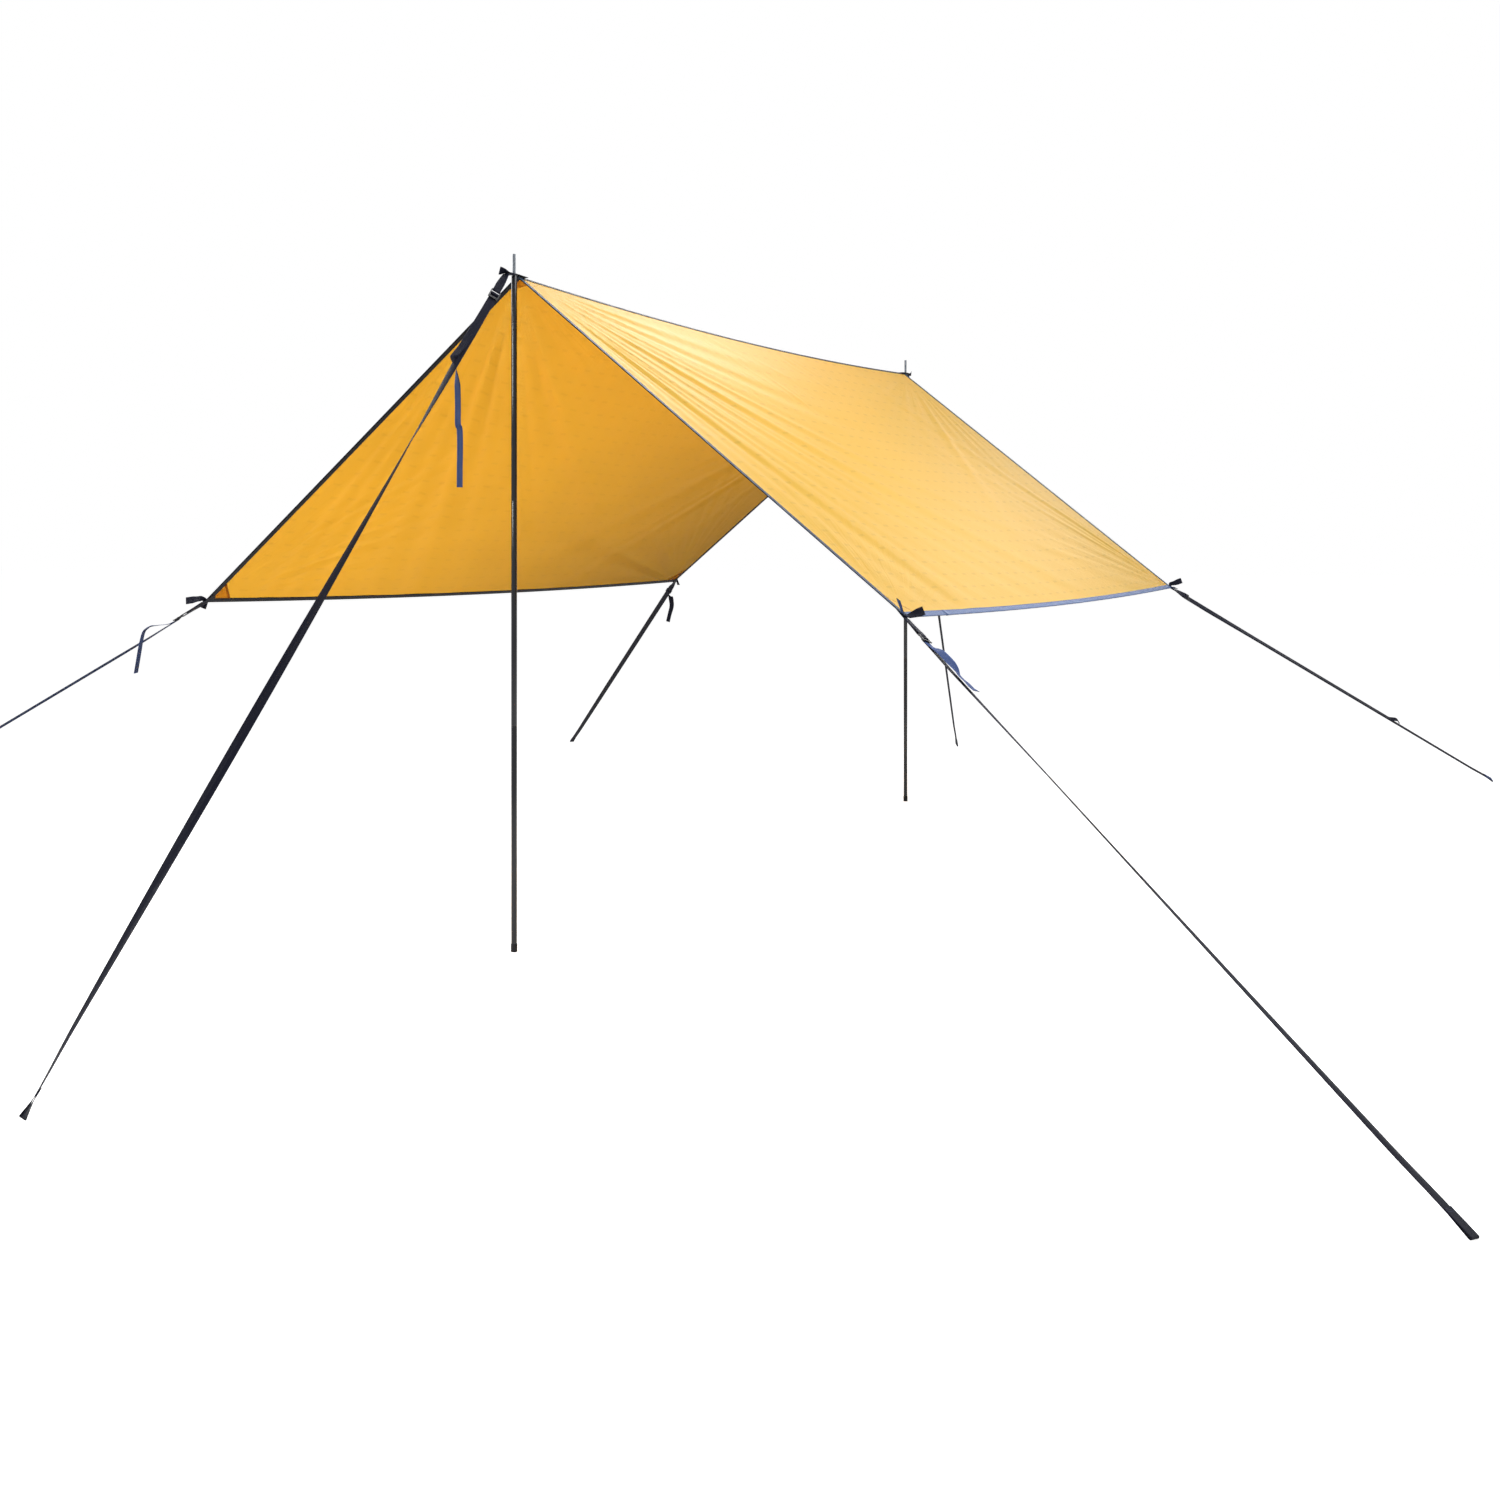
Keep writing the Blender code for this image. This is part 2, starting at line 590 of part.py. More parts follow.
def turned_cutter(name, radius, y):
    """An upright round cutter through one end of the ridge."""
    mesh = bpy.data.meshes.new(name)
    shape = bmesh.new()
    bmesh.ops.create_cone(shape, cap_ends=True, segments=TURNED_STEPS, radius1=radius, radius2=radius,
                          depth=2 * radius)
    shape.to_mesh(mesh)
    shape.free()
    cutter = add_cutter(name, mesh)
    cutter.location = (0, y, TAB_HEIGHT)
    return cutter


def add_loop(name, frame, webbing):
    """The short double loop sewn under a corner or a ridge tab, round the buckle's rear bar."""
    sewn = RIDGE_LOOP_SEWN_LENGTH if "ridge" in name else LOOP_SEWN_LENGTH
    start, normal = frame["lead"][0]
    half = LAYER / 2
    straight = LOOP_LENGTH - LOOP_SPREAD
    stations = []
    last, _ = frame["lead"][-1]
    for step in range(1, 7):
        share = step / 6
        turn = Matrix.Rotation(frame["roll"] * share, 3, frame["pull"])
        spread = half + (LOOP_OFFSET - half) * share ** 2
        centre = last + frame["pull"] * straight * share
        up = turn @ frame["pull"].cross(frame["flat_across"])
        stations.append((centre, up, spread, turn @ frame["flat_across"]))
    lower = [(start - frame["plane"] * sewn - normal * half, frame["flat_across"])]
    lower += [(centre - up * half, frame["flat_across"]) for centre, up in frame["lead"]]
    lower += [(centre - up * spread, side) for centre, up, spread, side in stations]
    upper = [(centre + up * spread, side) for centre, up, spread, side in reversed(stations)]
    upper += [(centre + up * half, frame["flat_across"]) for centre, up in reversed(frame["lead"])]
    if "ridge" in name:
        upper.append((start - frame["plane"] * sewn + normal * half, frame["flat_across"]))
    turn_steps = 8
    bar_turn = []
    for step in range(turn_steps + 1):
        angle = math.pi * step / turn_steps
        offset = frame["pull"] * math.sin(angle) * LOOP_OFFSET - frame["up"] * math.cos(angle) * LOOP_OFFSET
        bar_turn.append((frame["bar"] + offset, frame["across"]))
    route = lower + bar_turn + upper
    add_strip("loop_" + name, [point for point, _ in route], [side for _, side in route], webbing)


def buckle_mesh(plastic):
    """The moulded frame with its two slots, the origin in the middle of the rear bar."""
    mesh = bpy.data.meshes.new("buckle_blank")
    shape = bmesh.new()
    bmesh.ops.create_cube(shape, size=1)
    length = LIP_END + BUCKLE_BAR / 2
    bmesh.ops.scale(shape, vec=(length, 2 * BUCKLE_HALF_WIDTH, BUCKLE_THICKNESS), verts=shape.verts)
    bmesh.ops.translate(shape, vec=(length / 2 - BUCKLE_BAR / 2, 0, 0), verts=shape.verts)
    shape.to_mesh(mesh)
    shape.free()
    blank = add_object("buckle_blank", mesh, plastic)
    for slot, start in (("rear", BUCKLE_BAR / 2), ("front", MIDDLE_BAR_END)):
        window = bpy.data.meshes.new(slot + "_slot")
        shape = bmesh.new()
        bmesh.ops.create_cube(shape, size=1)
        bmesh.ops.scale(shape, vec=(BUCKLE_SLOT, 2 * BUCKLE_WINDOW_HALF_WIDTH, 3 * BUCKLE_THICKNESS),
                        verts=shape.verts)
        bmesh.ops.translate(shape, vec=(start + BUCKLE_SLOT / 2, 0, 0), verts=shape.verts)
        shape.to_mesh(window)
        shape.free()
        cut(blank, add_cutter(slot + "_slot_cutter", window))
    rounding = blank.modifiers.new("rounding", "BEVEL")
    rounding.width = BUCKLE_ROUNDING
    rounding.segments = 2
    rounding.limit_method = "ANGLE"
    bpy.context.view_layer.update()
    graph = bpy.context.evaluated_depsgraph_get()
    frame = bpy.data.meshes.new_from_object(blank.evaluated_get(graph))
    bpy.data.objects.remove(blank)
    return frame


def wrap_mesh(webbing):
    """The webbing's turn round the middle bar: in under the lip, up, over the bar and out again."""
    start, stop = MIDDLE_BAR_START, MIDDLE_BAR_END
    side = TOUCH + WEBBING / 2
    corner = side / math.sqrt(2)
    high = -TAIL_LEVEL
    route = [(WRAP_STRAP_END, STRAP_LEVEL)]
    route += [(stop + past, STRAP_LEVEL + height) for past, height in STRAP_RAMP]
    route += [(stop - TURN_INSET, -high), (start + TURN_INSET, -high), (start - corner, TURN_CORNER - high),
              (start - side, TURN_DROP - high), (start - side, high - TURN_DROP),
              (start - corner, high - TURN_CORNER), (start + TURN_INSET, high), (stop - TURN_INSET, high),
              (stop + corner, high - TURN_CORNER), (stop + side, high - TURN_DROP),
              (stop + side, -TURN_INSET)]
    route += [(stop + past, height) for past, height in TAIL_RAMP]
    route += [(stop + TAIL_RAMP_END, -high), (WRAP_TAIL_END, -high)]
    centres = [Vector((along, 0, up)) for along, up in route]
    across = [Vector((0, 1, 0))] * len(centres)
    mesh = surface_mesh("strap_turn", strip_rows(centres, across, [WEBBING_WIDTH] * len(centres)))
    mesh.materials.append(webbing)
    return mesh


def add_buckles(frames, plastic, webbing):
    """A buckle at each loop, and the turn of webbing that goes with it when it tilts."""
    frame_shape = buckle_mesh(plastic)
    turn_shape = wrap_mesh(webbing)
    for name, frame in frames.items():
        buckle = add_object("buckle_" + name, frame_shape, plastic)
        buckle.matrix_world = buckle_matrix(frame)
        turn = add_object("strap_turn_" + name, turn_shape, webbing)
        turn.matrix_world = buckle_matrix(frame)
        thicken(turn, WEBBING)


def turned_across(frame, degrees):
    """The direction of the webbing's width, turned on from the buckle's."""
    return Matrix.Rotation(math.radians(degrees), 3, frame["pull"]) @ frame["across"]


def strap_across(frame, station):
    share = (station - STRAP_START) / (frame["stations"][-1] - STRAP_START)
    return turned_across(frame, blend(frame["turns"], share))


def eased(share):
    return share * share * (3 - 2 * share)


def peg_loop(frame, reach):
    """Centres and across vectors of the loop at the strap's end, out to the peg and back."""
    half, length = PEG_LOOP_HALF_HEIGHT, PEG_LOOP_LENGTH
    end = length - half
    outward = spaced(0, end, PEG_LOOP_CELLS)
    route = [(along, -half * eased(along / end)) for along in outward]
    for angle in spaced(0, math.pi, PEG_LOOP_TURN_STEPS)[1:-1]:
        route.append((end + math.sin(angle) * half, -math.cos(angle) * half))
    route += [(along, LAYER + (half - LAYER) * eased(along / end)) for along in reversed(outward)]
    start = frame["start"] + frame["pull"] * (reach - length)
    last_turn = frame["turns"][-1][1]
    centres, across = [], []
    for along, lift in route:
        side = turned_across(frame, last_turn + frame["loop_turn"] * (along / length) ** 2)
        centres.append(start + frame["pull"] * along + frame["pull"].cross(side) * lift)
        across.append(side)
    return centres, across


def ground_reach(frame):
    """How far from the buckle's rear bar the strap's loop just touches the ground."""
    reach = frame["start"].z / -frame["pull"].z
    edges = []
    for centre, side in zip(*peg_loop(frame, reach)):
        slant = abs(side.z)
        edges.append(centre.z - slant * WEBBING_WIDTH / 2 - math.sqrt(1 - slant ** 2) * WEBBING / 2)
    return reach + (min(edges) - GROUND_TOUCH) / -frame["pull"].z


def strap_route(frame):
    """Centres and across vectors of a strap, from the buckle to its peg loop on the ground."""
    stations = frame["stations"][:-1]
    centres = [frame["start"] + frame["pull"] * station for station in stations]
    across = [strap_across(frame, station) for station in stations]
    loop_centres, loop_across = peg_loop(frame, frame["reach"])
    return centres + loop_centres, across + loop_across


def tail_route(frame, tail):
    """Centres and across vectors of a tail, along the strap and then down beside it."""
    follows = tail["follows"]
    places = [(TAIL_START, 0, 0)]
    for i in range(1, follows + 1):
        aside = tail["drift"] * MM * (i / follows) ** 2
        places.append((frame["stations"][i], aside, abs(aside) * TAIL_RIDE))
    base = places[-1][0]
    places += [(base + along * MM, aside * MM, lift * MM) for along, aside, lift in tail["leaving"]]
    points, sides = [], []
    for along, aside, lift in places:
        side = strap_across(frame, along)
        up = frame["pull"].cross(side)
        points.append(frame["start"] + frame["pull"] * along + up * (LAYER + lift) + side * aside)
        sides.append(side)
    last, last_side = points[-1], sides[-1]
    bearing = math.radians(tail["bearing"])
    for i, step in enumerate(tail["falling"]):
        points.append(last + Vector(step) * MM)
        hanging = Vector((math.cos(bearing), math.sin(bearing), 0))
        sides.append(last_side.slerp(hanging, min(1.0, (i + 1) / TAIL_SWING_STEPS)))
    loose = smoothed(points[follows:], 2)
    loose_sides = []
    for first, second in zip(sides[follows:], sides[follows + 1:]):
        loose_sides += [first, first.lerp(second, 0.5).normalized()]
    centres = points[:follows] + loose
    across = flattened(centres, [*sides[:follows], *loose_sides, sides[-1]])
    return centres, [sides[0], *across[1:]]


def add_pole(name, y, steel, paint, rubber):
    """A pole: rubber foot, three swaged sections of tube, and the plug with its pin."""
    section = POLE_HEIGHT / POLE_SECTIONS
    bore = POLE_RADIUS - POLE_WALL
    spigot = bore - SPIGOT_CLEARANCE
    spigot_bore = spigot - POLE_WALL
    rim_bottom = SHOULDER_DROP + PLUG_RIM
    plug = [(0, PIN_LENGTH), (PIN_RADIUS - PIN_CHAMFER, PIN_LENGTH), (PIN_RADIUS, PIN_LENGTH - PIN_CHAMFER),
            (PIN_RADIUS, 0), (NECK_RADIUS, -NECK_DROP), (POLE_RADIUS, -SHOULDER_DROP),
            (POLE_RADIUS, -rim_bottom), (spigot, -rim_bottom),
            (spigot, -rim_bottom - PLUG_STEM), (0, -rim_bottom - PLUG_STEM)]
    turned_piece(name + "_pin_plug", plug, steel, (0, y, POLE_HEIGHT))
    tops = (FOOT_BASE + TOUCH, section, 2 * section, POLE_HEIGHT - rim_bottom - TOUCH)
    for i, part in enumerate(("lower", "middle", "upper")):
        bottom = tops[i] if i == 0 else tops[i] + TOUCH / 2
        top = tops[i + 1] - TOUCH / 2 if i < 2 else tops[i + 1]
        if i < 2:
            profile = [(spigot, top + SPIGOT_LENGTH), (spigot, top), (POLE_RADIUS, top),
                       (POLE_RADIUS, bottom), (bore, bottom), (bore, top - POLE_WALL),
                       (spigot_bore, top + POLE_WALL), (spigot_bore, top + SPIGOT_LENGTH)]
        else:
            profile = [(POLE_RADIUS, top), (POLE_RADIUS, bottom), (bore, bottom), (bore, top)]
        turned_piece(f"{name}_{part}_section", profile, paint, (0, y, 0), closed=True)
    socket = POLE_RADIUS + TOUCH
    foot = [(socket, FOOT_HEIGHT), (FOOT_RADIUS, FOOT_HEIGHT), (FOOT_RADIUS, FOOT_CHAMFER),
            (FOOT_RADIUS - FOOT_CHAMFER, 0), (0, 0)]
    inside = [(0, FOOT_BASE), (socket, FOOT_BASE), (socket, FOOT_HEIGHT)]
    turned_piece(name + "_foot", foot + inside, rubber, (0, y, 0))


def add_eyelet(name, y, steel):
    """The rolled metal eyelet through the ridge tab, whose bore the pin passes."""
    inner = WEBBING / 2 + EYELET_PLAY
    outer = inner + EYELET_FLANGE_THICKNESS
    profile = [(EYELET_BORE, outer), (EYELET_FLANGE, outer), (EYELET_FLANGE, inner),
               (EYELET_BARREL, inner), (EYELET_BARREL, -inner), (EYELET_FLANGE, -inner),
               (EYELET_FLANGE, -outer), (EYELET_BORE, -outer)]
    turned_piece(name, profile, steel, (0, y, TAB_HEIGHT), closed=True)


clear_scene()
PARTS = add_collection("camping_tarp")
CUTTERS = add_collection("cutters")

CLOTH_ORANGE = add_material("coated_polyester", (0.93, 0.49, 0.09), 0.55)
PATCH_ORANGE = add_material("patch_polyester", (0.72, 0.33, 0.06), 0.6)
TAPE_BLUE = add_material("binding_tape", (0.10, 0.12, 0.25), 0.75)
WEBBING_NAVY = add_material("navy_webbing", (0.02, 0.03, 0.10), 0.8)
BUCKLE_BLACK = add_material("black_acetal", (0.015, 0.015, 0.018), 0.4)
POLE_NAVY = add_material("navy_gloss_paint", (0.01, 0.012, 0.03), 0.25)
ZINC = add_material("zinc_plated_steel", (0.62, 0.63, 0.65), 0.35, 1.0)
FOOT_RUBBER = add_material("black_rubber", (0.02, 0.02, 0.02), 0.85)

add_panels(CLOTH_ORANGE)
add_binding(TAPE_BLUE)
add_ridge_tape(TAPE_BLUE)
add_patches(PATCH_ORANGE)
FRAMES = {name: guy_frame(name) for name in GUYS}
for guy, guy_axes in FRAMES.items():
    if guy in TABS:
        add_tab(guy, guy_axes, WEBBING_NAVY)
    else:
        add_ridge_tab(guy, WEBBING_NAVY)
    add_loop(guy, guy_axes, WEBBING_NAVY)
    add_strip("strap_" + guy, *strap_route(guy_axes), WEBBING_NAVY)
    add_strip("tail_" + guy, *tail_route(guy_axes, TAILS[guy]), WEBBING_NAVY)
add_buckles(FRAMES, BUCKLE_BLACK, WEBBING_NAVY)
for pole, pole_y in (("front_pole", -POLE_END), ("rear_pole", POLE_END)):
    add_pole(pole, pole_y, ZINC, POLE_NAVY, FOOT_RUBBER)
add_eyelet("front_eyelet", -POLE_END, ZINC)
add_eyelet("rear_eyelet", POLE_END, ZINC)
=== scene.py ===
"""Camping tarp, dressed: cloth, tape, webbing, buckles and poles round the packed frame.

Metres, +Z up, in the frame of the packed model. The ridge runs along Y, the front pole stands
at -Y, and a side is -1 on the left (-X) and +1 on the right.
"""

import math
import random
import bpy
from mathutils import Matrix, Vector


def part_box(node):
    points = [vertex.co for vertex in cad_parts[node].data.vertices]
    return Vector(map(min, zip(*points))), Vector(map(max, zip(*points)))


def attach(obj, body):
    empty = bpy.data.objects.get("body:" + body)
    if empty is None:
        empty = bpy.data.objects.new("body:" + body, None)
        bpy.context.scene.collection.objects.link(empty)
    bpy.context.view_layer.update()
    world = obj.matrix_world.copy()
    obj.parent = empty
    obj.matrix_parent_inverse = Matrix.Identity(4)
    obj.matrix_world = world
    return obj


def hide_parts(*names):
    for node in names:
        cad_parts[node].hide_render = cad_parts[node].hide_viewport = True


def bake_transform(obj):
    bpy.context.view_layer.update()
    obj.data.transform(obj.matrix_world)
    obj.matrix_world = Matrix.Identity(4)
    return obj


bl_info = {
    "name": "Camping Tarp",
    "version": (1, 0, 0),
    "blender": (4, 5, 0),
    "location": "View3D > Sidebar > Tarp",
    "description": "Builds a pitched camping tarp with its poles and webbing guys",
    "category": "Add Mesh",
}

from contextlib import contextmanager
from functools import partial

import bmesh
import bpy
import numpy as np
from mathutils import Matrix, Vector

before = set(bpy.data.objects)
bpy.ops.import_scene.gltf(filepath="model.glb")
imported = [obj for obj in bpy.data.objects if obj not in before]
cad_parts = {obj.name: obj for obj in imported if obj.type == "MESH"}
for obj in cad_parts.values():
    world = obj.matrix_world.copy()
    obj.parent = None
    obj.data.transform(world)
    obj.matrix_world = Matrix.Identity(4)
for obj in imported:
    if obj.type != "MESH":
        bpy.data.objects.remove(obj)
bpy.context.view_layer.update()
MM = 0.001


def middle_of(node):
    low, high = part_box(node)
    return (low + high) / 2


# Length of the pin on each pole's top
PIN_LENGTH = 0.066

# Points closer than this are one
SAME_PLACE = 1e-6

# Edges sharper than this many degrees stay sharp
RIBBON_CREASE = 50
BUCKLE_CREASE = 60
TURNED_CREASE = 40

# Sizes that the frame's own solids give
POLE_END = middle_of("rear_pole_foot").y
POLE_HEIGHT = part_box("front_pole_pin_plug")[1].z - PIN_LENGTH
TAB_HEIGHT = middle_of("front_eyelet").z

# Layers of the sewn trim, as far apart as the frame's solids
TOUCH = 0.0003
CLOTH_SOLID = 0.0015
CLOTH_TOUCH = 0.0004
TAPE_SOLID = 0.0008
PATCH_SOLID = 0.0008
TAPE_OFFSET = CLOTH_SOLID / 2 + TOUCH + TAPE_SOLID / 2
TAPE_TOP = CLOTH_SOLID / 2 + TOUCH + TAPE_SOLID
PATCH_DEPTH = CLOTH_SOLID / 2 + CLOTH_TOUCH + PATCH_SOLID
# How much further the tape's top is from the cloth over the crest of the ridge
CREST_RISE = 1.28

# The webbing tabs sewn over the corners and the ridge's ends. A corner's is drawn in to its waist
# over this length, and bends down at its knees
TAB_WAIST = 0.012
TAB_FLARE = 0.040
TAB_KNEE = 0.0008
TAB_STEPS = 6
RIDGE_TAB_FLAT = 0.040
TAB_TURN = 75
TAB_TURN_STEPS = 10
TAB_INNER_REACH = 0.060
EYELET_FLANGE = 0.011

# The loops sewn under them, which hold the buckles: their sewn lengths, how far out they leave the
# cloth, and how they bend, spread and go round a buckle's rear bar
LOOP_SEWN_LENGTH = 0.045
RIDGE_LOOP_SEWN_LENGTH = 0.019
RIDGE_LOOP_OUT = 0.032
CORNER_LOOP_OUT = 0.005
LOOP_LENGTH = 0.072
LOOP_BEND = 0.012
LOOP_SPREAD = 0.012
LOOP_BAR_RADIUS = 0.0022
LOOP_CELLS = 12
LOOP_TURN_STEPS = 16
# A loop bends away from the cloth in more steps where it bends by more than this, in radians
LEAD_STEPS = (2, 8)
STEEP_BEND = 0.5

# Straps, tails and the loops for the pegs
PEG_LOOP_LENGTH = 0.070
PEG_LOOP_HALF_HEIGHT = 0.0028
PEG_LOOP_CELLS = 16
PEG_LOOP_TURN_STEPS = 12
STRAP_CELLS = 48
# A tail rises by this share of its drift across its strap, and its width swings round over this
# many points where it falls
TAIL_RIDE = 0.09
TAIL_SWING_STEPS = 3
TAIL_STEPS = 4
# From the turn in a buckle to where its strap starts, and how much further on the tail does
JOINT_GAP = 0.0004
STAGGER = 0.0015
# How far a peg loop stays off the ground
GROUND_TOUCH = 0.0001
# Strained webbing curls a little across its width, from this far along
STRAP_CUP = 0.0026
CUP_START = 0.15

# Where each guy meets the ground, the roll of its buckle, and how its webbing turns on from there,
# as pairs of the share of its length and the turn in degrees
GUYS = {
    "front_ridge": {"ground": (-0.091, -3.400), "roll": -51,
                    "turns": ((0.0, 0), (0.25, 97), (0.634, 180), (1.0, 265))},
    "front_left": {"ground": (-2.800, -2.550), "roll": -20,
                   "turns": ((0.0, 0), (0.12, 12), (0.6, 12), (1.0, 8))},
    "front_right": {"ground": (2.797, -2.640), "roll": 0, "turns": ((0.0, 0), (0.32, -18), (1.0, 14))},
    "rear_right": {"ground": (2.560, 3.701), "roll": 30, "turns": ((0.0, 0), (0.2, -16), (1.0, -19))},
    "rear_left": {"ground": (-2.789, 2.975), "roll": 62, "turns": ((0.0, 0), (0.6, -8), (1.0, -35))},
    "rear_ridge": {"ground": (-0.506, 3.844), "roll": 0, "turns": ((0.0, 0), (0.62, 52), (1.0, 56))},
}

# The guy whose peg loop turns on along its length, in degrees
PEG_LOOP_TURNS = {"front_ridge": 40}

# Free tails. A tail first follows this many strap stations while it drifts across the strap.
# It leaves by (distance on from there, offset across, height above), then falls by
# (x, y, z) from the last of those points, its width swinging round to the bearing in degrees.
# Lengths are in millimetres
TAILS = {
    "front_ridge": {
        "follows": 4, "drift": -6, "leaving": ((38, -10, 5),), "bearing": 170,
        "falling": ((2, -5, -14), (6, -3, -40), (9, 0, -90), (10, 1, -150), (10, 1, -205), (15, 3, -222),
                    (17, 2, -280), (16, 2, -340), (15, 3, -393)),
    },
    "front_left": {
        "follows": 0, "drift": 0, "bearing": -74,
        "leaving": ((14, 0, 1), (30, 0, 6), (48, 2, 15), (65, 11, 22), (77, 24, 24)),
        "falling": ((-9, -14, -14), (-16, -19, -44), (-24, -20, -80), (-33, -20, -120), (-42, -20, -158)),
    },
    "front_right": {
        "follows": 0, "drift": 0, "bearing": 0, "falling": (),
        "leaving": ((18, 0, 1), (36, 0, 6), (55, 0, 10), (82, 0, 11), (110, 0, 11), (132, 0, 9),
                    (150, 0, 5), (170, 0, 4), (193, 0, 6), (215, 0, 6), (236, 0, 9)),
        "turning": (0, 18, 30, 33, 33, 15, -8, -2, 2, 6, 12),
    },
    "rear_right": {
        "follows": 31, "drift": 0, "bearing": 0, "falling": (),
        "leaving": ((12, 0, 2), (28, 0, 9), (44, 0, 15), (60, 0, 14), (70, 0, 7)),
    },
    "rear_left": {
        "follows": 0, "drift": 0, "bearing": 174,
        "leaving": ((8, 0, 0.2), (20, -5, 4), (31, -15, 9), (40, -26, 11)),
        "falling": ((4, 1, -18), (6, 1, -50), (-4, -2, -90), (-13, -6, -132)),
    },
    "rear_ridge": {
        "follows": 3, "drift": 10, "bearing": 70, "leaving": ((20, 18, 8), (38, 27, 10)),
        "falling": ((0, 6, -18), (0, 6, -62), (-1, 7, -112), (-1, 6, -164), (-2, 8, -214), (-2, 8, -255)),
    },
}

# The side of each strap and of its tail drawn in the paler webbing colour, painted light where light falls on
# it: upper 1, lower -1, both 2, neither 0
PAINTED_LIGHT_SIDES = {
    "front_ridge": (0, -1), "front_left": (-1, 2), "front_right": (0, 2), "rear_right": (-1, -1),
    "rear_left": (1, 1), "rear_ridge": (1, 1),
}

# The webbing tab sewn across each corner, from one end to the other. Each of its points is
# (along the guy, across it, above the cloth) from the corner, in millimetres
TABS = {
    "front_left": (((54, 18, 30), (28, 18, 17), (6, 19, 6)), ((6, -18, 4), (28, -26, -6))),
    "front_right": (((2, 44, 34), (0, 22, 10)), ((-8, -20, 9), (-18, -42, 27))),
    "rear_right": (((36, 12, 46), (17, 16, 20), (3, 18, 6)), ((-4, -20, 6), (-6, -36, 14))),
    "rear_left": (((4, 40, 20), (0, 20, 7)), ((4, -17, 4), (14, -20, -8), (24, -20, -24))),
}

# How far the first end of a corner's tab turns on its way out, and its side in painted light
TAB_TURNS = {"front_left": (0, 1), "front_right": (42, -1), "rear_right": (-42, -1), "rear_left": (0, 0)}

# The end of the tab on each ridge end: steps outwards, to the side and upwards from the pin
RIDGE_TABS = {"front_ridge": (66, -8, 3), "rear_ridge": (62, 6, 3)}

# Real length of each strap and of its tail
CORD_LENGTHS = {
    "front_ridge": (2.66, 0.64), "front_left": (1.98, 0.26), "front_right": (2.02, 0.24),
    "rear_right": (2.55, 1.63), "rear_left": (2.20, 0.19), "rear_ridge": (2.99, 0.48),
}

# The photograph's camera: its place, its heading, its focal length and its horizon
CAMERA_PLACE = (2.9504, -5.902, 1.2702)
CAMERA_HEADING = 26.697
PHOTO_SIDE = 1500
PHOTO_FOCAL = 1646.25
PHOTO_HORIZON = 542.57
SENSOR = 36.0
CAMERA_REACH = 200.0


def linear(code):
    """The scene-linear colour of an sRGB hex code."""
    channels = [int(code[i:i + 2], 16) / 255 for i in (0, 2, 4)]
    return [c / 12.92 if c <= 0.04045 else ((c + 0.055) / 1.055) ** 2.4 for c in channels]


def size(name, description, default):
    return bpy.props.FloatProperty(name=name, description=description, default=default, unit="LENGTH",
                                   precision=4, min=0.0)


def colour(name, description, code):
    return bpy.props.FloatVectorProperty(name=name, description=description, default=linear(code),
                                         subtype="COLOR", size=3, min=0.0, max=1.0)


def count(name, description, default):
    return bpy.props.IntProperty(name=name, description=description, default=default, min=1)


def power(name, description, default):
    return bpy.props.FloatProperty(name=name, description=description, default=default, subtype="POWER",
                                   min=0.0)


class TarpPitch(bpy.types.PropertyGroup):
    """How the tarp is pitched."""

    eave_height: size("Eave height", "Height of the four corners", 1.065)
    eave_half_span: size("Eave half span", "From the ridge out to an eave", 1.298)
    eave_half_length: size("Eave half length", "Half of an eave's length", 1.659)
    ridge_inset: size("Ridge inset", "How far the cloth ends short of a pole's axis", 0.016)
    ridge_sag: size("Ridge sag", "Dip of the ridge between its poles", 0.034)
    eave_sag: size("Eave sag", "Dip of each eave between its corners", 0.018)
    panel_sag: size("Panel sag", "Dip of each slope between ridge and eave", 0.015)


class TarpCloth(bpy.types.PropertyGroup):
    """The sheet and its folds."""

    thickness: size("Cloth thickness", "Thickness of the coated cloth", 0.0004)
    cells_along: count("Cells along", "Faces along the ridge", 220)
    cells_down: count("Cells down", "Faces down each slope", 106)
    fold_height: size("Fold height", "Height of the largest tension folds", 0.011)
    fold_edge: size("Fold edge", "How soon the folds die out towards an edge", 0.05)
    seed: count("Seed", "Chooses where the folds and wrinkles lie", 7)
    cloth_colour: colour("Cloth", "Colour of the cloth's outer face", "F9DD5E")
    coating_colour: colour("Coating", "Colour of the cloth's coated inside", "F9C24E")
    glow_colour: colour("Glow", "Colour of light that has passed one face of the cloth", "FFDD7A")
    patch_colour: colour("Patches", "Colour of the corner patches", "CC9656")
    patch_glow: colour("Patch glow", "Colour of light that has passed one face of a patch", "FFF0DC")
    patch_leg: size("Patch leg", "Leg of a corner patch", 0.090)
    ridge_patch_drop: size("Ridge patch drop", "Depth of a ridge patch down the slope", 0.055)
    patch_thickness: size("Patch thickness", "Thickness of a patch", 0.0004)


class TarpTape(bpy.types.PropertyGroup):
    """The binding and the ridge tape."""

    width: size("Binding width", "Width of the binding on each face of the cloth", 0.022)
    thickness: size("Tape thickness", "Thickness of the woven tape", 0.0005)
    step: size("Step", "Distance between the tape's sections", 0.015)
    # One tape in three colours that paint its light and shade: palest on the eaves' outer face, with painted
    # light, darkest on the inner face, with painted shade, and between them on the gables' outer face
    outer_colour: colour("Outer face", "Colour of the tape's outer face on the gables, between painted light and painted shade", "354254")
    eave_painted_light_colour: colour("Eave face", "Colour of the tape's outer face on the eaves, paler with painted light", "5A6C92")
    inner_painted_shade_colour: colour("Inner face", "Colour of the tape's inner face, dark with painted shade", "0E101C")


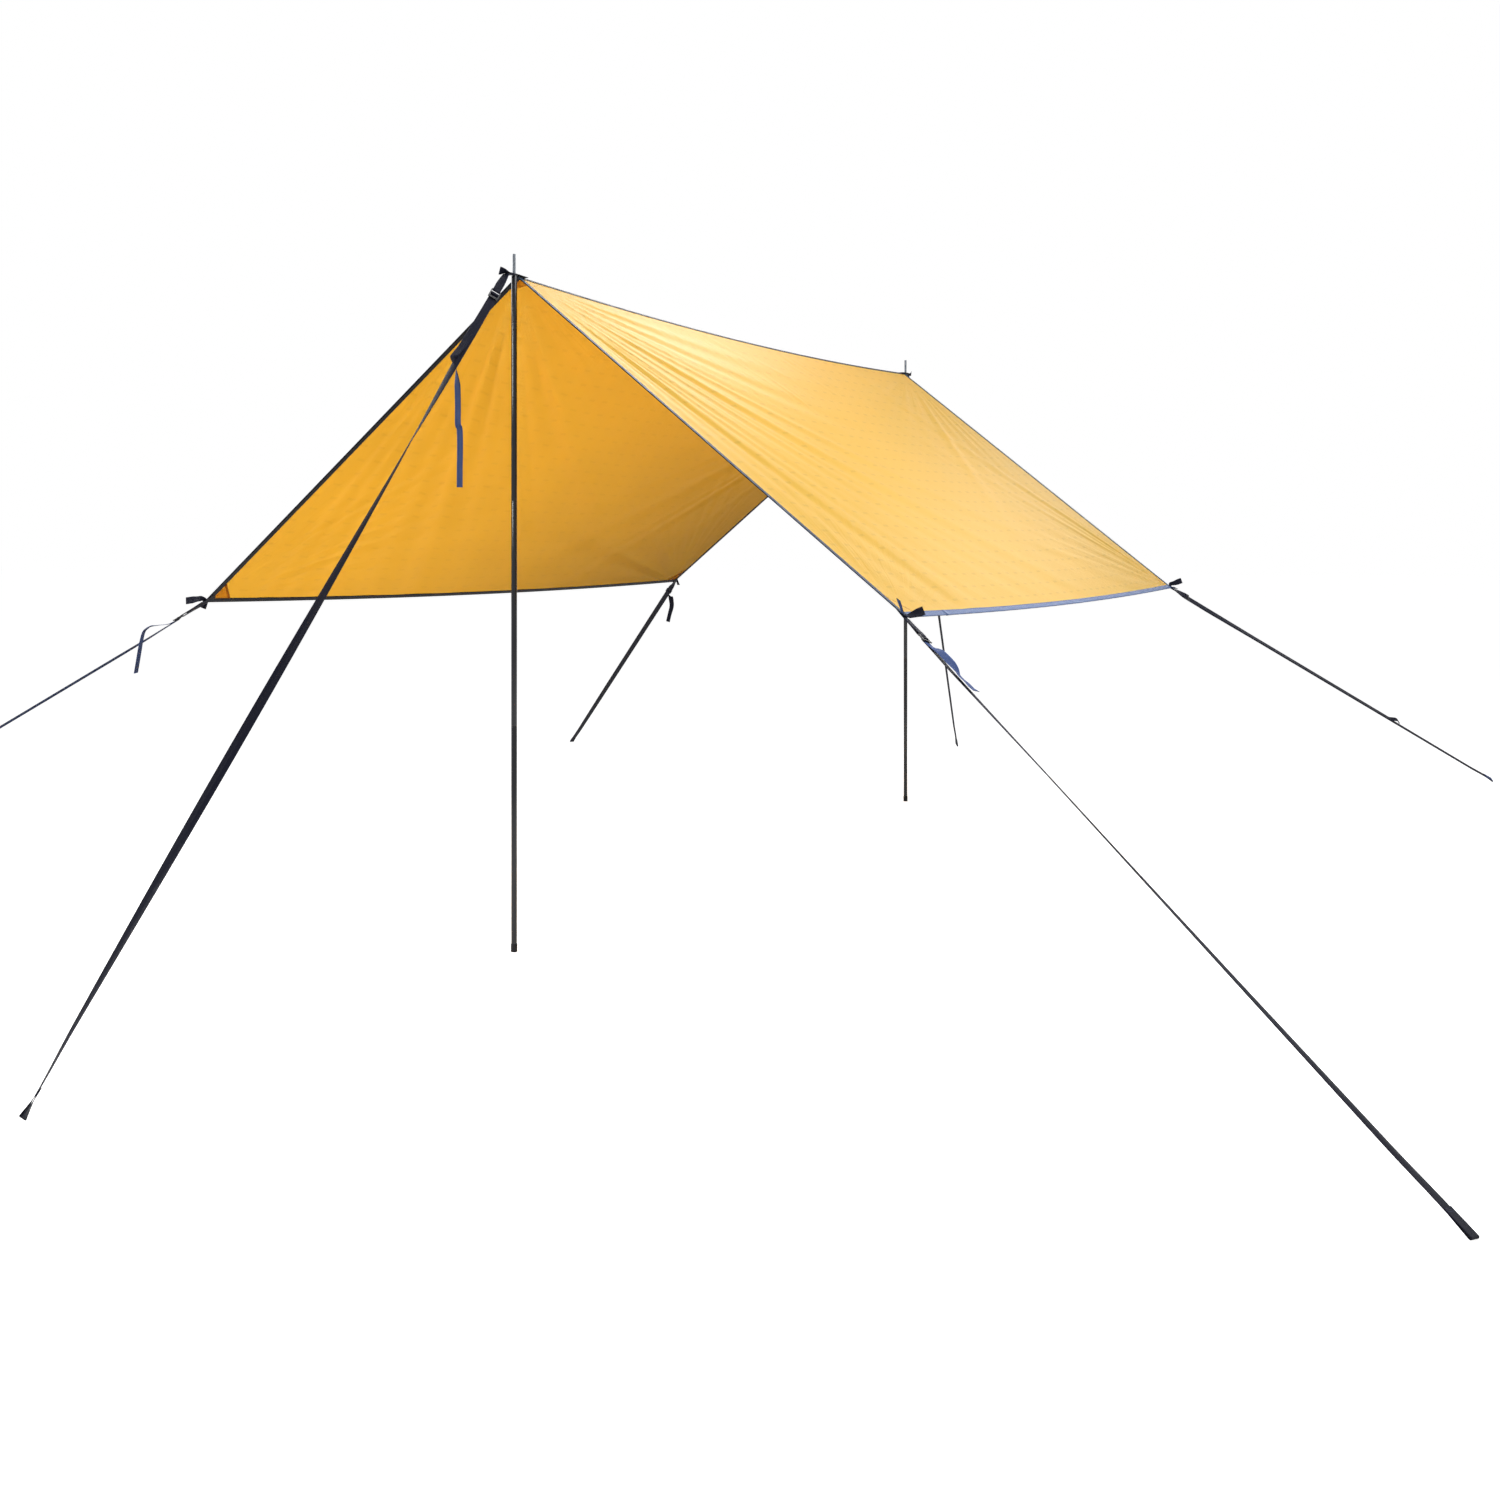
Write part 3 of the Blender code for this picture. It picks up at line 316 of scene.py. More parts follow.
class TarpWebbing(bpy.types.PropertyGroup):
    """The guys, tabs and loops."""

    width: size("Webbing width", "Width of the webbing", 0.025)
    thickness: size("Webbing thickness", "Thickness of the webbing", 0.0016)
    webbing_colour: colour("Webbing", "Colour of the webbing", "0D0F20")
    # The paler webbing colour is painted light, for the sides of the webbing that light falls on
    painted_light_colour: colour("Webbing in painted light", "Colour of the webbing's side in painted light", "35497A")


class TarpBuckle(bpy.types.PropertyGroup):
    """The ladder-lock buckles."""

    half_width: size("Half width", "Half of the buckle's width", 0.016)
    window_half_width: size("Window half width", "Half of the width that the webbing passes", 0.0131)
    thickness: size("Thickness", "Thickness of the buckle's bars", 0.0034)
    bar: size("Rear bar", "Length of the rear bar along the webbing", 0.0034)
    middle_bar: size("Middle bar", "Length of the middle bar along the webbing", 0.0044)
    slot: size("Slot", "Length of each slot", 0.0086)
    lip: size("Lip", "Length of the front lip", 0.0076)
    plastic_colour: colour("Plastic", "Colour of the moulded plastic", "17171B")


class TarpPole(bpy.types.PropertyGroup):
    """The poles."""

    radius: size("Pole radius", "Outer radius of the tube", 0.009)
    wall: size("Pole wall", "Wall of the tube", 0.001)
    spigot: size("Spigot", "Length of the swaged end that enters the next section", 0.060)
    pin_radius: size("Pin radius", "Radius of the pin at the top", 0.005)
    pin_length: size("Pin length", "Length of the pin at the top", PIN_LENGTH)
    foot_radius: size("Foot radius", "Radius of the rubber foot", 0.0102)
    foot_height: size("Foot height", "Height of the rubber foot", 0.025)
    steps: count("Steps", "Facets round a turned piece", 48)
    paint_colour: colour("Paint", "Colour of the enamel", "0D0F19")
    zinc_colour: colour("Zinc", "Colour of the zinc plating", "55595E")
    rubber_colour: colour("Rubber", "Colour of the foot", "1E1E20")


class TarpStitching(bpy.types.PropertyGroup):
    """The thread."""

    pitch: size("Pitch", "Distance from one stitch to the next", 0.004)
    length: size("Stitch length", "Length of thread that shows", 0.0032)
    thread_radius: size("Thread radius", "Half of the thread's thickness", 0.0004)
    thread_colour: colour("Thread", "Colour of the thread on tape and webbing", "2C3660")
    cloth_thread_colour: colour("Cloth thread", "Colour of the thread on the patches", "B06A24")


class TarpStage(bpy.types.PropertyGroup):
    """Floor, light and camera."""

    floor_radius: size("Floor radius", "Half of the floor's side", 60.0)
    floor_colour: colour("Floor", "What the floor gives back to the object", "585852")
    sky: bpy.props.FloatProperty(name="Sky", description="Strength of the even light from all round",
                                 default=0.2, min=0.0)
    left: power("Left", "Power of the soft lamp above the left slope", 45.0)
    right: power("Right", "Power of the soft lamp above the right slope", 255.0)
    rear: power("Rear", "Power of the high lamp behind the rear pole", 19.0)
    low: power("Low", "Power of the low lamp behind the right slope", 17.0)
    front: power("Front", "Power of the small lamp in front of the pole", 70.0)


GROUPS = {
    "tarp_pitch": TarpPitch, "tarp_cloth": TarpCloth, "tarp_tape": TarpTape,
    "tarp_webbing": TarpWebbing, "tarp_buckle": TarpBuckle, "tarp_pole": TarpPole,
    "tarp_stitching": TarpStitching, "tarp_stage": TarpStage,
}


def of(group):
    """The settings of one group."""
    return getattr(bpy.context.scene, "tarp_" + group)


def add_node(tree, kind, inputs, output=0, **settings):
    """Adds a node with its values or links and its settings, and gives one of its outputs."""
    node = tree.nodes.new(kind)
    for name, value in settings.items():
        setattr(node, name, value)
    for key, value in inputs.items():
        if isinstance(value, bpy.types.NodeSocket):
            tree.links.new(value, node.inputs[key])
        else:
            node.inputs[key].default_value = value
    return node.outputs[output] if node.outputs else None


def new_material(name, surface, *given):
    """A material with the surface that a function builds from what is given."""
    material = bpy.data.materials.new(name)
    material.use_nodes = True
    material.node_tree.nodes.clear()
    add = partial(add_node, material.node_tree)
    add("ShaderNodeOutputMaterial", {"Surface": surface(add, *given)})
    return material


def shade(values, share=1.0):
    """A colour with its alpha, made darker or lighter by a share."""
    return (*[value * share for value in values], 1.0)


# The scale of a wave texture whose bands are a metre apart
WAVE_PERIOD = math.pi / 10


def cloth_surface(add, face_colour, glow_colour, through, gloss, sheen, puckers):
    """Polyurethane-coated polyester taffeta: thin, and slightly shiny on its outer face, it lets
    part of the light through, puckers in staggered rows, and creases finely from each point that
    pulls it."""
    uv = add("ShaderNodeUVMap", {}, uv_map="cloth")

    # Plain weave of 0.25 mm threads, drawn at 1.6 mm so that it shows
    warp, weft = [add("ShaderNodeTexWave", {"Vector": uv, "Scale": WAVE_PERIOD / 0.0016},
                      bands_direction=axis) for axis in "XY"]
    weave = add("ShaderNodeMath", {0: warp, 1: weft}, operation="MULTIPLY")

    # Puckers: 18 mm dashes, 92 mm apart in rows 65 mm apart, half a step over in each second row
    bricks = add("ShaderNodeTexBrick",
                 {"Vector": uv, "Color1": (1, 1, 1, 1), "Color2": (1, 1, 1, 1), "Mortar": (0, 0, 0, 1),
                  "Scale": 1.0, "Mortar Size": 0.0295, "Mortar Smooth": 0.12, "Brick Width": 0.092,
                  "Row Height": 0.065}, offset=0.5, offset_frequency=2)

    # Fine creases that fan out from the ridge's ends and from the corners. They die out towards
    # 1.2 m from there, and start between 50 mm and half a metre
    creases = []
    for fan in ("ridge_fan", "corner_fan"):
        turned = add("ShaderNodeUVMap", {}, uv_map=fan)
        reach = add("ShaderNodeSeparateXYZ", {0: turned}, 1)
        fade, root = [add("ShaderNodeMapRange", {0: reach, 1: none, 2: full, 3: 0.0, 4: 1.0},
                          interpolation_type="SMOOTHSTEP") for none, full in ((1.2, 0.05), (0.05, 0.5))]
        fade = add("ShaderNodeMath", {0: fade, 1: root}, operation="MULTIPLY")
        stretched = add("ShaderNodeMapping", {"Vector": turned, "Scale": (30.0, 1.6, 1.0)})
        rays = add("ShaderNodeTexNoise", {"Vector": stretched, "Scale": 1.0, "Detail": 2.0})
        creases.append(add("ShaderNodeMath", {0: rays, 1: fade}, operation="MULTIPLY"))
    creases = add("ShaderNodeMath", {0: creases[0], 1: creases[1]}, operation="ADD")
    crinkle = add("ShaderNodeTexNoise", {"Vector": uv, "Scale": 24.0, "Detail": 5.0, "Roughness": 0.55,
                                         "Distortion": 0.6})
    # Strength, depth in metres and pattern of each bump, from coarse to fine
    bumps = {}
    for strength, depth, pattern in ((0.55, 0.006, creases), (0.3, 0.004, crinkle),
                                     (0.3, 0.001, bricks), (0.12, 0.0004, weave)):
        bumps = {"Normal": add("ShaderNodeBump", {"Strength": strength, "Distance": depth,
                                                  "Height": pattern, **bumps})}

    # Dye that took a little unevenly, and painted shade that darkens the puckers
    patchy = add("ShaderNodeTexNoise", {"Vector": uv, "Scale": 2.2, "Detail": 3.0})
    pucker_shade = add("ShaderNodeMath", {0: bricks, 1: puckers}, operation="MULTIPLY")
    dyes_and_pucker_shade = []
    for dye in (face_colour, glow_colour):
        even = add("ShaderNodeMix", {0: patchy, 6: shade(dye, 0.93), 7: shade(dye)}, 2, data_type="RGBA")
        dyes_and_pucker_shade.append(add("ShaderNodeMix", {0: pucker_shade, 6: even, 7: shade(dye, 0.75)}, 2, data_type="RGBA"))
    face = add("ShaderNodeBsdfPrincipled",
               {"Base Color": dyes_and_pucker_shade[0], "Roughness": 0.46, "IOR": 1.45, "Specular IOR Level": gloss,
                "Sheen Weight": sheen, "Sheen Roughness": 0.4, **bumps})
    glow = add("ShaderNodeBsdfTranslucent", {"Color": dyes_and_pucker_shade[1], **bumps})
    return add("ShaderNodeMixShader", {0: through, 1: face, 2: glow})


# How much paler the webbing's edges have worn, and the shares of its width between which they do
EDGE_WEAR = 1.9
WEAR_START = 0.40
WEAR_END = 0.49


def webbing_surface(add, dye):
    """Polypropylene webbing, woven in a herringbone: dull, with a shine on the yarns at a low
    angle, and edges that have worn paler."""
    width = of("webbing").width
    uv = add("ShaderNodeUVMap", {}, uv_map="webbing")
    across = add("ShaderNodeSeparateXYZ", {0: uv}, 1)
    aside = add("ShaderNodeMath", {0: across}, operation="ABSOLUTE")
    lean = add("ShaderNodeCombineXYZ", {0: aside})
    slanted = add("ShaderNodeVectorMath", {0: uv, 1: lean}, operation="ADD")
    # Yarns 1.1 mm wide, drawn at 1.8 mm
    twill = add("ShaderNodeTexWave", {"Vector": slanted, "Scale": WAVE_PERIOD / 0.0018},
                bands_direction="X")
    ribs = add("ShaderNodeTexWave", {"Vector": uv, "Scale": WAVE_PERIOD / 0.0031}, bands_direction="Y")
    height = add("ShaderNodeMath", {0: ribs, 1: 0.6, 2: twill}, operation="MULTIPLY_ADD")
    bump = add("ShaderNodeBump", {"Strength": 0.5, "Distance": 0.0006, "Height": height})
    fuzz = add("ShaderNodeTexNoise", {"Vector": uv, "Scale": 160.0, "Detail": 2.0})
    edge = add("ShaderNodeMapRange", {0: aside, 1: width * WEAR_START, 2: width * WEAR_END, 3: 0.0, 4: fuzz},
               interpolation_type="SMOOTHSTEP")
    yarn = add("ShaderNodeMix", {0: twill, 6: shade(dye, 0.7), 7: shade(dye)}, 2, data_type="RGBA")
    yarn = add("ShaderNodeMix", {0: edge, 6: yarn, 7: shade(dye, EDGE_WEAR)}, 2, data_type="RGBA")
    return add("ShaderNodeBsdfPrincipled",
               {"Base Color": yarn, "Roughness": 0.6, "IOR": 1.49, "Specular IOR Level": 0.12,
                "Sheen Weight": 0.06, "Sheen Roughness": 0.4, "Normal": bump})


def tape_surface(add, dye):
    """Grosgrain polyester tape: fine ribs on the slant, with a soft shine."""
    uv = add("ShaderNodeUVMap", {}, uv_map="tape")
    slanted = add("ShaderNodeMapping", {"Vector": uv, "Rotation": (0.0, 0.0, math.radians(45))})
    # Ribs 0.8 mm wide, drawn at 2 mm
    ribs, fine = [add("ShaderNodeTexWave", {"Vector": slanted, "Scale": WAVE_PERIOD / width},
                      bands_direction=axis) for axis, width in (("X", 0.002), ("Y", 0.0011))]
    height = add("ShaderNodeMath", {0: ribs, 1: fine}, operation="MULTIPLY")
    bump = add("ShaderNodeBump", {"Strength": 0.5, "Distance": 0.0005, "Height": height})
    yarn = add("ShaderNodeMix", {0: ribs, 6: shade(dye, 0.6), 7: shade(dye)}, 2, data_type="RGBA")
    return add("ShaderNodeBsdfPrincipled",
               {"Base Color": yarn, "Roughness": 0.5, "IOR": 1.5, "Specular IOR Level": 0.06,
                "Sheen Weight": 0.03, "Sheen Roughness": 0.3, "Normal": bump})


def thread_surface(add, dye):
    """Bonded polyester thread: a twisted cord with a waxy shine."""
    spot = add("ShaderNodeTexCoord", {}, "Object")
    twist = add("ShaderNodeTexNoise", {"Vector": spot, "Scale": 1500.0})
    tint = add("ShaderNodeMix", {0: twist, 6: shade(dye, 0.8), 7: shade(dye)}, 2, data_type="RGBA")
    return add("ShaderNodeBsdfPrincipled",
               {"Base Color": tint, "Roughness": 0.45, "Specular IOR Level": 0.3, "Sheen Weight": 0.1})


def plastic_surface(add, black):
    """Acetal, injection moulded: nearly black, satin, with a faint spark-eroded grain."""
    spot = add("ShaderNodeTexCoord", {}, "Object")
    grain = add("ShaderNodeTexNoise", {"Vector": spot, "Scale": 1400.0, "Detail": 3.0})
    bump = add("ShaderNodeBump", {"Strength": 0.3, "Distance": 0.0001, "Height": grain})
    tint = add("ShaderNodeMix", {0: grain, 6: shade(black, 0.8), 7: shade(black, 1.25)}, 2,
               data_type="RGBA")
    roughness = add("ShaderNodeMapRange", {0: grain, 3: 0.26, 4: 0.40})
    return add("ShaderNodeBsdfPrincipled", {"Base Color": tint, "Roughness": roughness, "IOR": 1.48,
                                            "Specular IOR Level": 0.3, "Normal": bump})


def paint_surface(add, navy):
    """Gloss enamel baked on steel tube: navy black, faint orange peel, rubbed duller in places."""
    spot = add("ShaderNodeTexCoord", {}, "Object")
    peel = add("ShaderNodeTexNoise", {"Vector": spot, "Scale": 420.0, "Detail": 2.0})
    bump = add("ShaderNodeBump", {"Strength": 0.15, "Distance": 0.0002, "Height": peel})
    stretched = add("ShaderNodeMapping", {"Vector": spot, "Scale": (1.0, 1.0, 0.08)})
    streaks = add("ShaderNodeTexNoise", {"Vector": stretched, "Scale": 220.0, "Detail": 4.0})
    rubs = add("ShaderNodeMapRange", {0: streaks, 1: 0.60, 2: 0.74}, interpolation_type="SMOOTHSTEP")
    tint = add("ShaderNodeMix", {0: rubs, 6: shade(navy), 7: shade(navy, 2.2)}, 2, data_type="RGBA")
    roughness = add("ShaderNodeMapRange", {0: rubs, 3: 0.14, 4: 0.34})
    return add("ShaderNodeBsdfPrincipled", {"Base Color": tint, "Roughness": roughness, "IOR": 1.52,
                                            "Specular IOR Level": 0.35, "Normal": bump})


def zinc_surface(add, zinc):
    """Zinc plate on turned steel: pale grey metal with fine turning marks round it."""
    spot = add("ShaderNodeTexCoord", {}, "Object")
    rings = add("ShaderNodeMapping", {"Vector": spot, "Scale": (0.05, 0.05, 1.0)})
    marks = add("ShaderNodeTexNoise", {"Vector": rings, "Scale": 1800.0, "Detail": 2.0})
    bloom = add("ShaderNodeTexNoise", {"Vector": spot, "Scale": 160.0, "Detail": 4.0})
    bump = add("ShaderNodeBump", {"Strength": 0.2, "Distance": 0.0001, "Height": marks})
    tint = add("ShaderNodeMix", {0: bloom, 6: shade(zinc, 0.82), 7: shade(zinc)}, 2, data_type="RGBA")
    roughness = add("ShaderNodeMapRange", {0: bloom, 3: 0.24, 4: 0.42})
    return add("ShaderNodeBsdfPrincipled", {"Base Color": tint, "Metallic": 1.0,
                                            "Roughness": roughness, "Normal": bump})


def rubber_surface(add, black):
    """Moulded rubber: matt, with dust in its pores."""
    spot = add("ShaderNodeTexCoord", {}, "Object")
    pores = add("ShaderNodeTexNoise", {"Vector": spot, "Scale": 900.0, "Detail": 4.0})
    bump = add("ShaderNodeBump", {"Strength": 0.4, "Distance": 0.0003, "Height": pores})
    tint = add("ShaderNodeMix", {0: pores, 6: shade(black), 7: shade(black, 2.0)}, 2, data_type="RGBA")
    return add("ShaderNodeBsdfPrincipled", {"Base Color": tint, "Roughness": 0.8, "IOR": 1.52,
                                            "Specular IOR Level": 0.3, "Normal": bump})


FINISHES = {}


def finish(name):
    """A material, made once."""
    if name not in FINISHES:
        cloth, tape, webbing, buckle, pole, stitching = [of(group) for group in (
            "cloth", "tape", "webbing", "buckle", "pole", "stitching")]
        # After a cloth's colours: the share of light that it lets through, its gloss, its sheen
        # and how much painted shade darkens its puckers
        label, surface, *given = {
            "cloth": ("polyester_taffeta_face", cloth_surface, cloth.cloth_colour, cloth.glow_colour,
                      0.62, 0.30, 0.15, 0.35),
            "cloth_inside": ("polyurethane_coating", cloth_surface, cloth.coating_colour,
                             cloth.glow_colour, 0.62, 0.12, 0.0, 0.15),
            "patch": ("doubled_polyester_patch", cloth_surface, cloth.patch_colour, cloth.patch_glow,
                      0.85, 0.12, 0.0, 0.25),
            # Three lit and shaded copies of one tape: painted half light on the gables, painted light on the
            # eaves and painted shade inside
            "binding": ("bleached_polyester_tape", tape_surface, tape.outer_colour),
            "eave_binding_painted_light": ("sun_bleached_polyester_tape", tape_surface, tape.eave_painted_light_colour),
            "inner_binding_painted_shade": ("sheltered_polyester_tape", tape_surface, tape.inner_painted_shade_colour),
            "webbing": ("navy_polypropylene_webbing", webbing_surface, webbing.webbing_colour),
            # The webbing's copy in painted light
            "webbing_painted_light": ("bleached_polypropylene_webbing", webbing_surface, webbing.painted_light_colour),
            "thread": ("navy_thread", thread_surface, stitching.thread_colour),
            "cloth_thread": ("orange_thread", thread_surface, stitching.cloth_thread_colour),
            "buckle": ("moulded_black_acetal", plastic_surface, buckle.plastic_colour),
            "pole_paint": ("gloss_enamel_on_steel_tube", paint_surface, pole.paint_colour),
            "zinc": ("zinc_plated_turned_steel", zinc_surface, pole.zinc_colour),
            "foot_rubber": ("moulded_rubber", rubber_surface, pole.rubber_colour),
        }[name]
        FINISHES[name] = new_material(label, surface, *given)
    return FINISHES[name]


def add_object(name, data):
    holder = bpy.data.objects.new(name, data)
    bpy.context.scene.collection.objects.link(holder)
    return holder


def add_piece(name, mesh, look, body=None, replaces=()):
    """A shown piece with its finish, its body and the solids that it stands for."""
    piece = add_object(name, mesh)
    if not mesh.materials:
        mesh.materials.append(finish(look))
    if body:
        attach(piece, body)
    if replaces:
        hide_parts(*replaces)
    return piece


@contextmanager
def shaping(mesh):
    """A mesh opened for changes, which are written back at the end."""
    shape = bmesh.new()
    shape.from_mesh(mesh)
    yield shape
    shape.to_mesh(mesh)
    shape.free()


def ridge_half_length():
    return POLE_END - of("pitch").ridge_inset


def ridge_height():
    return TAB_HEIGHT - of("webbing").thickness / 2 - TOUCH - TAPE_TOP * CREST_RISE


def roof():
    """The roof's pitch and its slope's length."""
    pitch = of("pitch")
    drop = ridge_height() - pitch.eave_height
    return math.atan2(drop, pitch.eave_half_span), math.hypot(drop, pitch.eave_half_span)


def spaced(start, stop, cells):
    return [start + (stop - start) * i / cells for i in range(cells + 1)]


# The sunny slope is drawn tighter than the other
SLACKNESS = {-1: 1.0, 1: 0.6}

# The fans of folds, at the front and the rear of the ridge (down 0) and of the eave (down 1): the
# end, down, how many folds, the angles they lie between, how far they run, and their height
FOLD_FANS = ((-1, 0, 17, 6, 84, 0.75, 1.0), (1, 0, 13, 8, 80, 0.42, 0.8),
             (-1, 1, 9, 8, 70, 0.32, 0.55), (1, 1, 10, 6, 66, 0.38, 0.9))
# How folds vary: in their place within their share of the angle, their width in degrees, and
# shares of their fan's reach and height
FOLD_PLACES = (0.1, 0.9)
FOLD_WIDTHS = (1.1, 2.8)
FOLD_REACHES = (0.55, 1.35)
FOLD_HEIGHTS = (0.25, 1.0)
# A fold that is narrower than this where it ends is lower too
FULL_FOLD_WIDTH = 0.02

# Short wrinkles under the ridge's seam, then longer ones anywhere on the slope: how many, whether
# their place down is a share of the slope, and the ranges of their place along and down, heading,
# length, width and height
WRINKLES = ((34, False, (-0.9, 0.95), (0.05, 0.38), (20, 75), (0.04, 0.13), (0.008, 0.022), (0.06, 0.2)),
            (70, True, (-0.93, 0.93), (0.12, 0.95), (-25, 40), (0.05, 0.2), (0.012, 0.035), (0.03, 0.11)))

FOLDS = {}


def folds_of(side):
    """The folds of one slope: (corner along, corner down, towards along, towards down, angle,
    angular width, height, reach), and its short creases: (along, down, heading, length, width,
    height)."""
    if side in FOLDS:
        return FOLDS[side]
    chance = random.Random(of("cloth").seed * 10 + side)
    half_length = ridge_half_length()
    _, slope = roof()
    top = of("cloth").fold_height * SLACKNESS[side]
    folds = []
    for end, low, number, first, last, reach, share in FOLD_FANS:
        for i in range(number):
            angle = math.radians(first + (last - first) * (i + chance.uniform(*FOLD_PLACES)) / number)
            width = math.radians(chance.uniform(*FOLD_WIDTHS))
            length = reach * chance.uniform(*FOLD_REACHES)
            height = top * share * chance.uniform(*FOLD_HEIGHTS) * min(1.0, length * width / FULL_FOLD_WIDTH)
            folds.append((end * half_length, low * slope, -end, 1 - 2 * low, angle, width, height, length))
    creases = []
    for number, in_shares, along, down, heading, length, width, height in WRINKLES:
        for _ in range(number):
            creases.append((chance.uniform(*along) * half_length,
                            chance.uniform(*down) * (slope if in_shares else 1.0),
                            math.radians(chance.uniform(*heading)), chance.uniform(*length),
                            chance.uniform(*width), top * chance.uniform(*height)))
    FOLDS[side] = [list(zip(*rows)) for rows in (folds, creases)]
    return FOLDS[side]


def ripple(across):
    """A crest with a shallow trough on each side."""
    return (1 - across ** 2) * np.exp(-across ** 2 / 2)


def fold_lift(side, along, down):
    """Height of the folds at arrays of places on one slope, nothing at its edges."""
    folds, creases = [np.array(rows) for rows in folds_of(side)]
    at_along, at_down = along[..., None], down[..., None]
    corner_along, corner_down, to_along, to_down, angle, width, height, length = folds
    out_along = (at_along - corner_along) * to_along
    out_down = (at_down - corner_down) * to_down
    reach = np.hypot(out_along, out_down) / length
    across = (np.arctan2(np.maximum(out_down, 0), np.maximum(out_along, 1e-9)) - angle) / width
    lift = (height * ripple(across) * reach * np.exp(1 - reach)).sum(-1)
    middle_along, middle_down, heading, length, width, height = creases
    off_along, off_down = at_along - middle_along, at_down - middle_down
    run = off_along * np.cos(heading) + off_down * np.sin(heading)
    across = off_down * np.cos(heading) - off_along * np.sin(heading)
    lift += (height * ripple(across / width) * np.exp(-(run / length) ** 2)).sum(-1)
    edge = np.minimum(np.minimum(ridge_half_length() - np.abs(along), down), roof()[1] - down)
    return lift * (1 - np.exp(-(np.maximum(edge, 0) / of("cloth").fold_edge) ** 2))


def sheet_points(side, along, down, height=0.0):
    """Places on one slope: along the ridge, down the slope from it, and above its middle."""
    pitch = of("pitch")
    angle, slope = roof()
    along, down = np.asarray(along, float), np.asarray(down, float)
    share = down / slope
    y = along * (1 + share * (pitch.eave_half_length / ridge_half_length() - 1))
    slack = np.maximum(0.0, 1 - (along / POLE_END) ** 2)
    drop = ((ridge_height() - pitch.eave_height) * share
            + slack * (pitch.ridge_sag * (1 - share) + pitch.eave_sag * share)
            + slack * pitch.panel_sag * 4 * share * (1 - share))
    lift = fold_lift(side, along, down) + height
    return np.stack([side * (pitch.eave_half_span * share + lift * math.sin(angle)), y,
                     ridge_height() - drop + lift * math.cos(angle)], axis=-1)


def sheet_point(side, along, down, height=0.0):
    return Vector(sheet_points(side, along, down, height))


def ridge_point(along, height):
    """A point over the ridge, where two layers this far above the slopes meet."""
    crest = sheet_point(1, along, 0)
    return Vector((0, crest.y, crest.z + height / math.cos(roof()[0])))


def grid_mesh(name, rows, layer, places, closed=False):
    """A surface through rows of points, with a UV map of the places given for them in metres."""
    width = len(rows[0])
    points = np.asarray(rows, float).reshape(-1, 3)
    last = len(rows) if closed else len(rows) - 1
    faces = []
    for row in range(last):
        following = (row + 1) % len(rows)
        for column in range(width - 1):
            faces.append((row * width + column, row * width + column + 1,
                          following * width + column + 1, following * width + column))
    mesh = bpy.data.meshes.new(name)
    mesh.from_pydata(points.tolist(), [], faces)
    add_places(mesh, layer, places)
    mesh.shade_smooth()
    return mesh


def add_places(mesh, layer, places):
    """A UV map with a place for each of the mesh's points, in their order."""
    uv = mesh.uv_layers.new(name=layer)
    flat = np.asarray(places, float).reshape(-1, 2)
    corners = np.empty(len(mesh.loops), np.int32)
    mesh.loops.foreach_get("vertex_index", corners)
    uv.data.foreach_set("uv", flat[corners].ravel())


def thicken(piece, thickness, offset=0.0):
    wall = piece.modifiers.new("thickness", "SOLIDIFY")
    wall.thickness = thickness
    wall.offset = offset
    wall.use_even_offset = True
    return piece


# The sheet's cells are closest at the ridge and at its ends, where the folds are narrowest
END_CLOSENESS = 0.22
RIDGE_CLOSENESS = 1.12
# How far beyond the cloth its creases fan out from
FAN_BEYOND = 0.02
# Steps in the noise of the creases from one side, and from one end, of the sheet to the other
NOISE_STEPS = (7, 3)


def make_canopy():
    """The whole sheet: both slopes and the crest between them in one surface."""
    cloth = of("cloth")
    half_length = ridge_half_length()
    _, slope = roof()
    steps = np.linspace(-1, 1, cloth.cells_along + 1)
    along = half_length * ((1 - END_CLOSENESS) * steps + END_CLOSENESS * np.sin(steps * math.pi / 2))
    down = slope * np.linspace(0, 1, cloth.cells_down + 1) ** RIDGE_CLOSENESS
    places_along, places_down = np.meshgrid(along, down, indexing="ij")
    left = sheet_points(-1, places_along, places_down)
    right = sheet_points(1, places_along, places_down)
    rows = np.concatenate([left[:, :0:-1], right], axis=1)
    along = np.concatenate([places_along[:, :0:-1], places_along], axis=1)
    down = np.concatenate([-places_down[:, :0:-1], places_down], axis=1)
    mesh = grid_mesh("canopy", rows, "cloth", np.stack([along, down], axis=-1))
    mesh.materials.append(finish("cloth"))
    mesh.materials.append(finish("cloth_inside"))
    # Bearings and distances from the ends of the ridge and from the corners, for the creases,
    # with a part of the noise for each quarter of the sheet
    to_end = half_length + FAN_BEYOND - np.abs(along)
    quarter = NOISE_STEPS[0] * np.sign(down) + NOISE_STEPS[1] * np.sign(along)
    for fan, aside in (("ridge_fan", np.abs(down)), ("corner_fan", slope + FAN_BEYOND - np.abs(down))):
        bearing = np.stack([np.arctan2(aside, to_end) + quarter, np.hypot(aside, to_end)], axis=-1)
        add_places(mesh, fan, bearing)
    canopy = add_piece("canopy", mesh, "cloth", "tarp", ("canopy_left_panel", "canopy_right_panel"))
    thicken(canopy, cloth.thickness).modifiers["thickness"].material_offset = 1
    return canopy


# The tape's first and last sections on a gable and on an eave stay clear of the corners
GABLE_ROOM = 0.006
CORNER_ROOM = 0.004


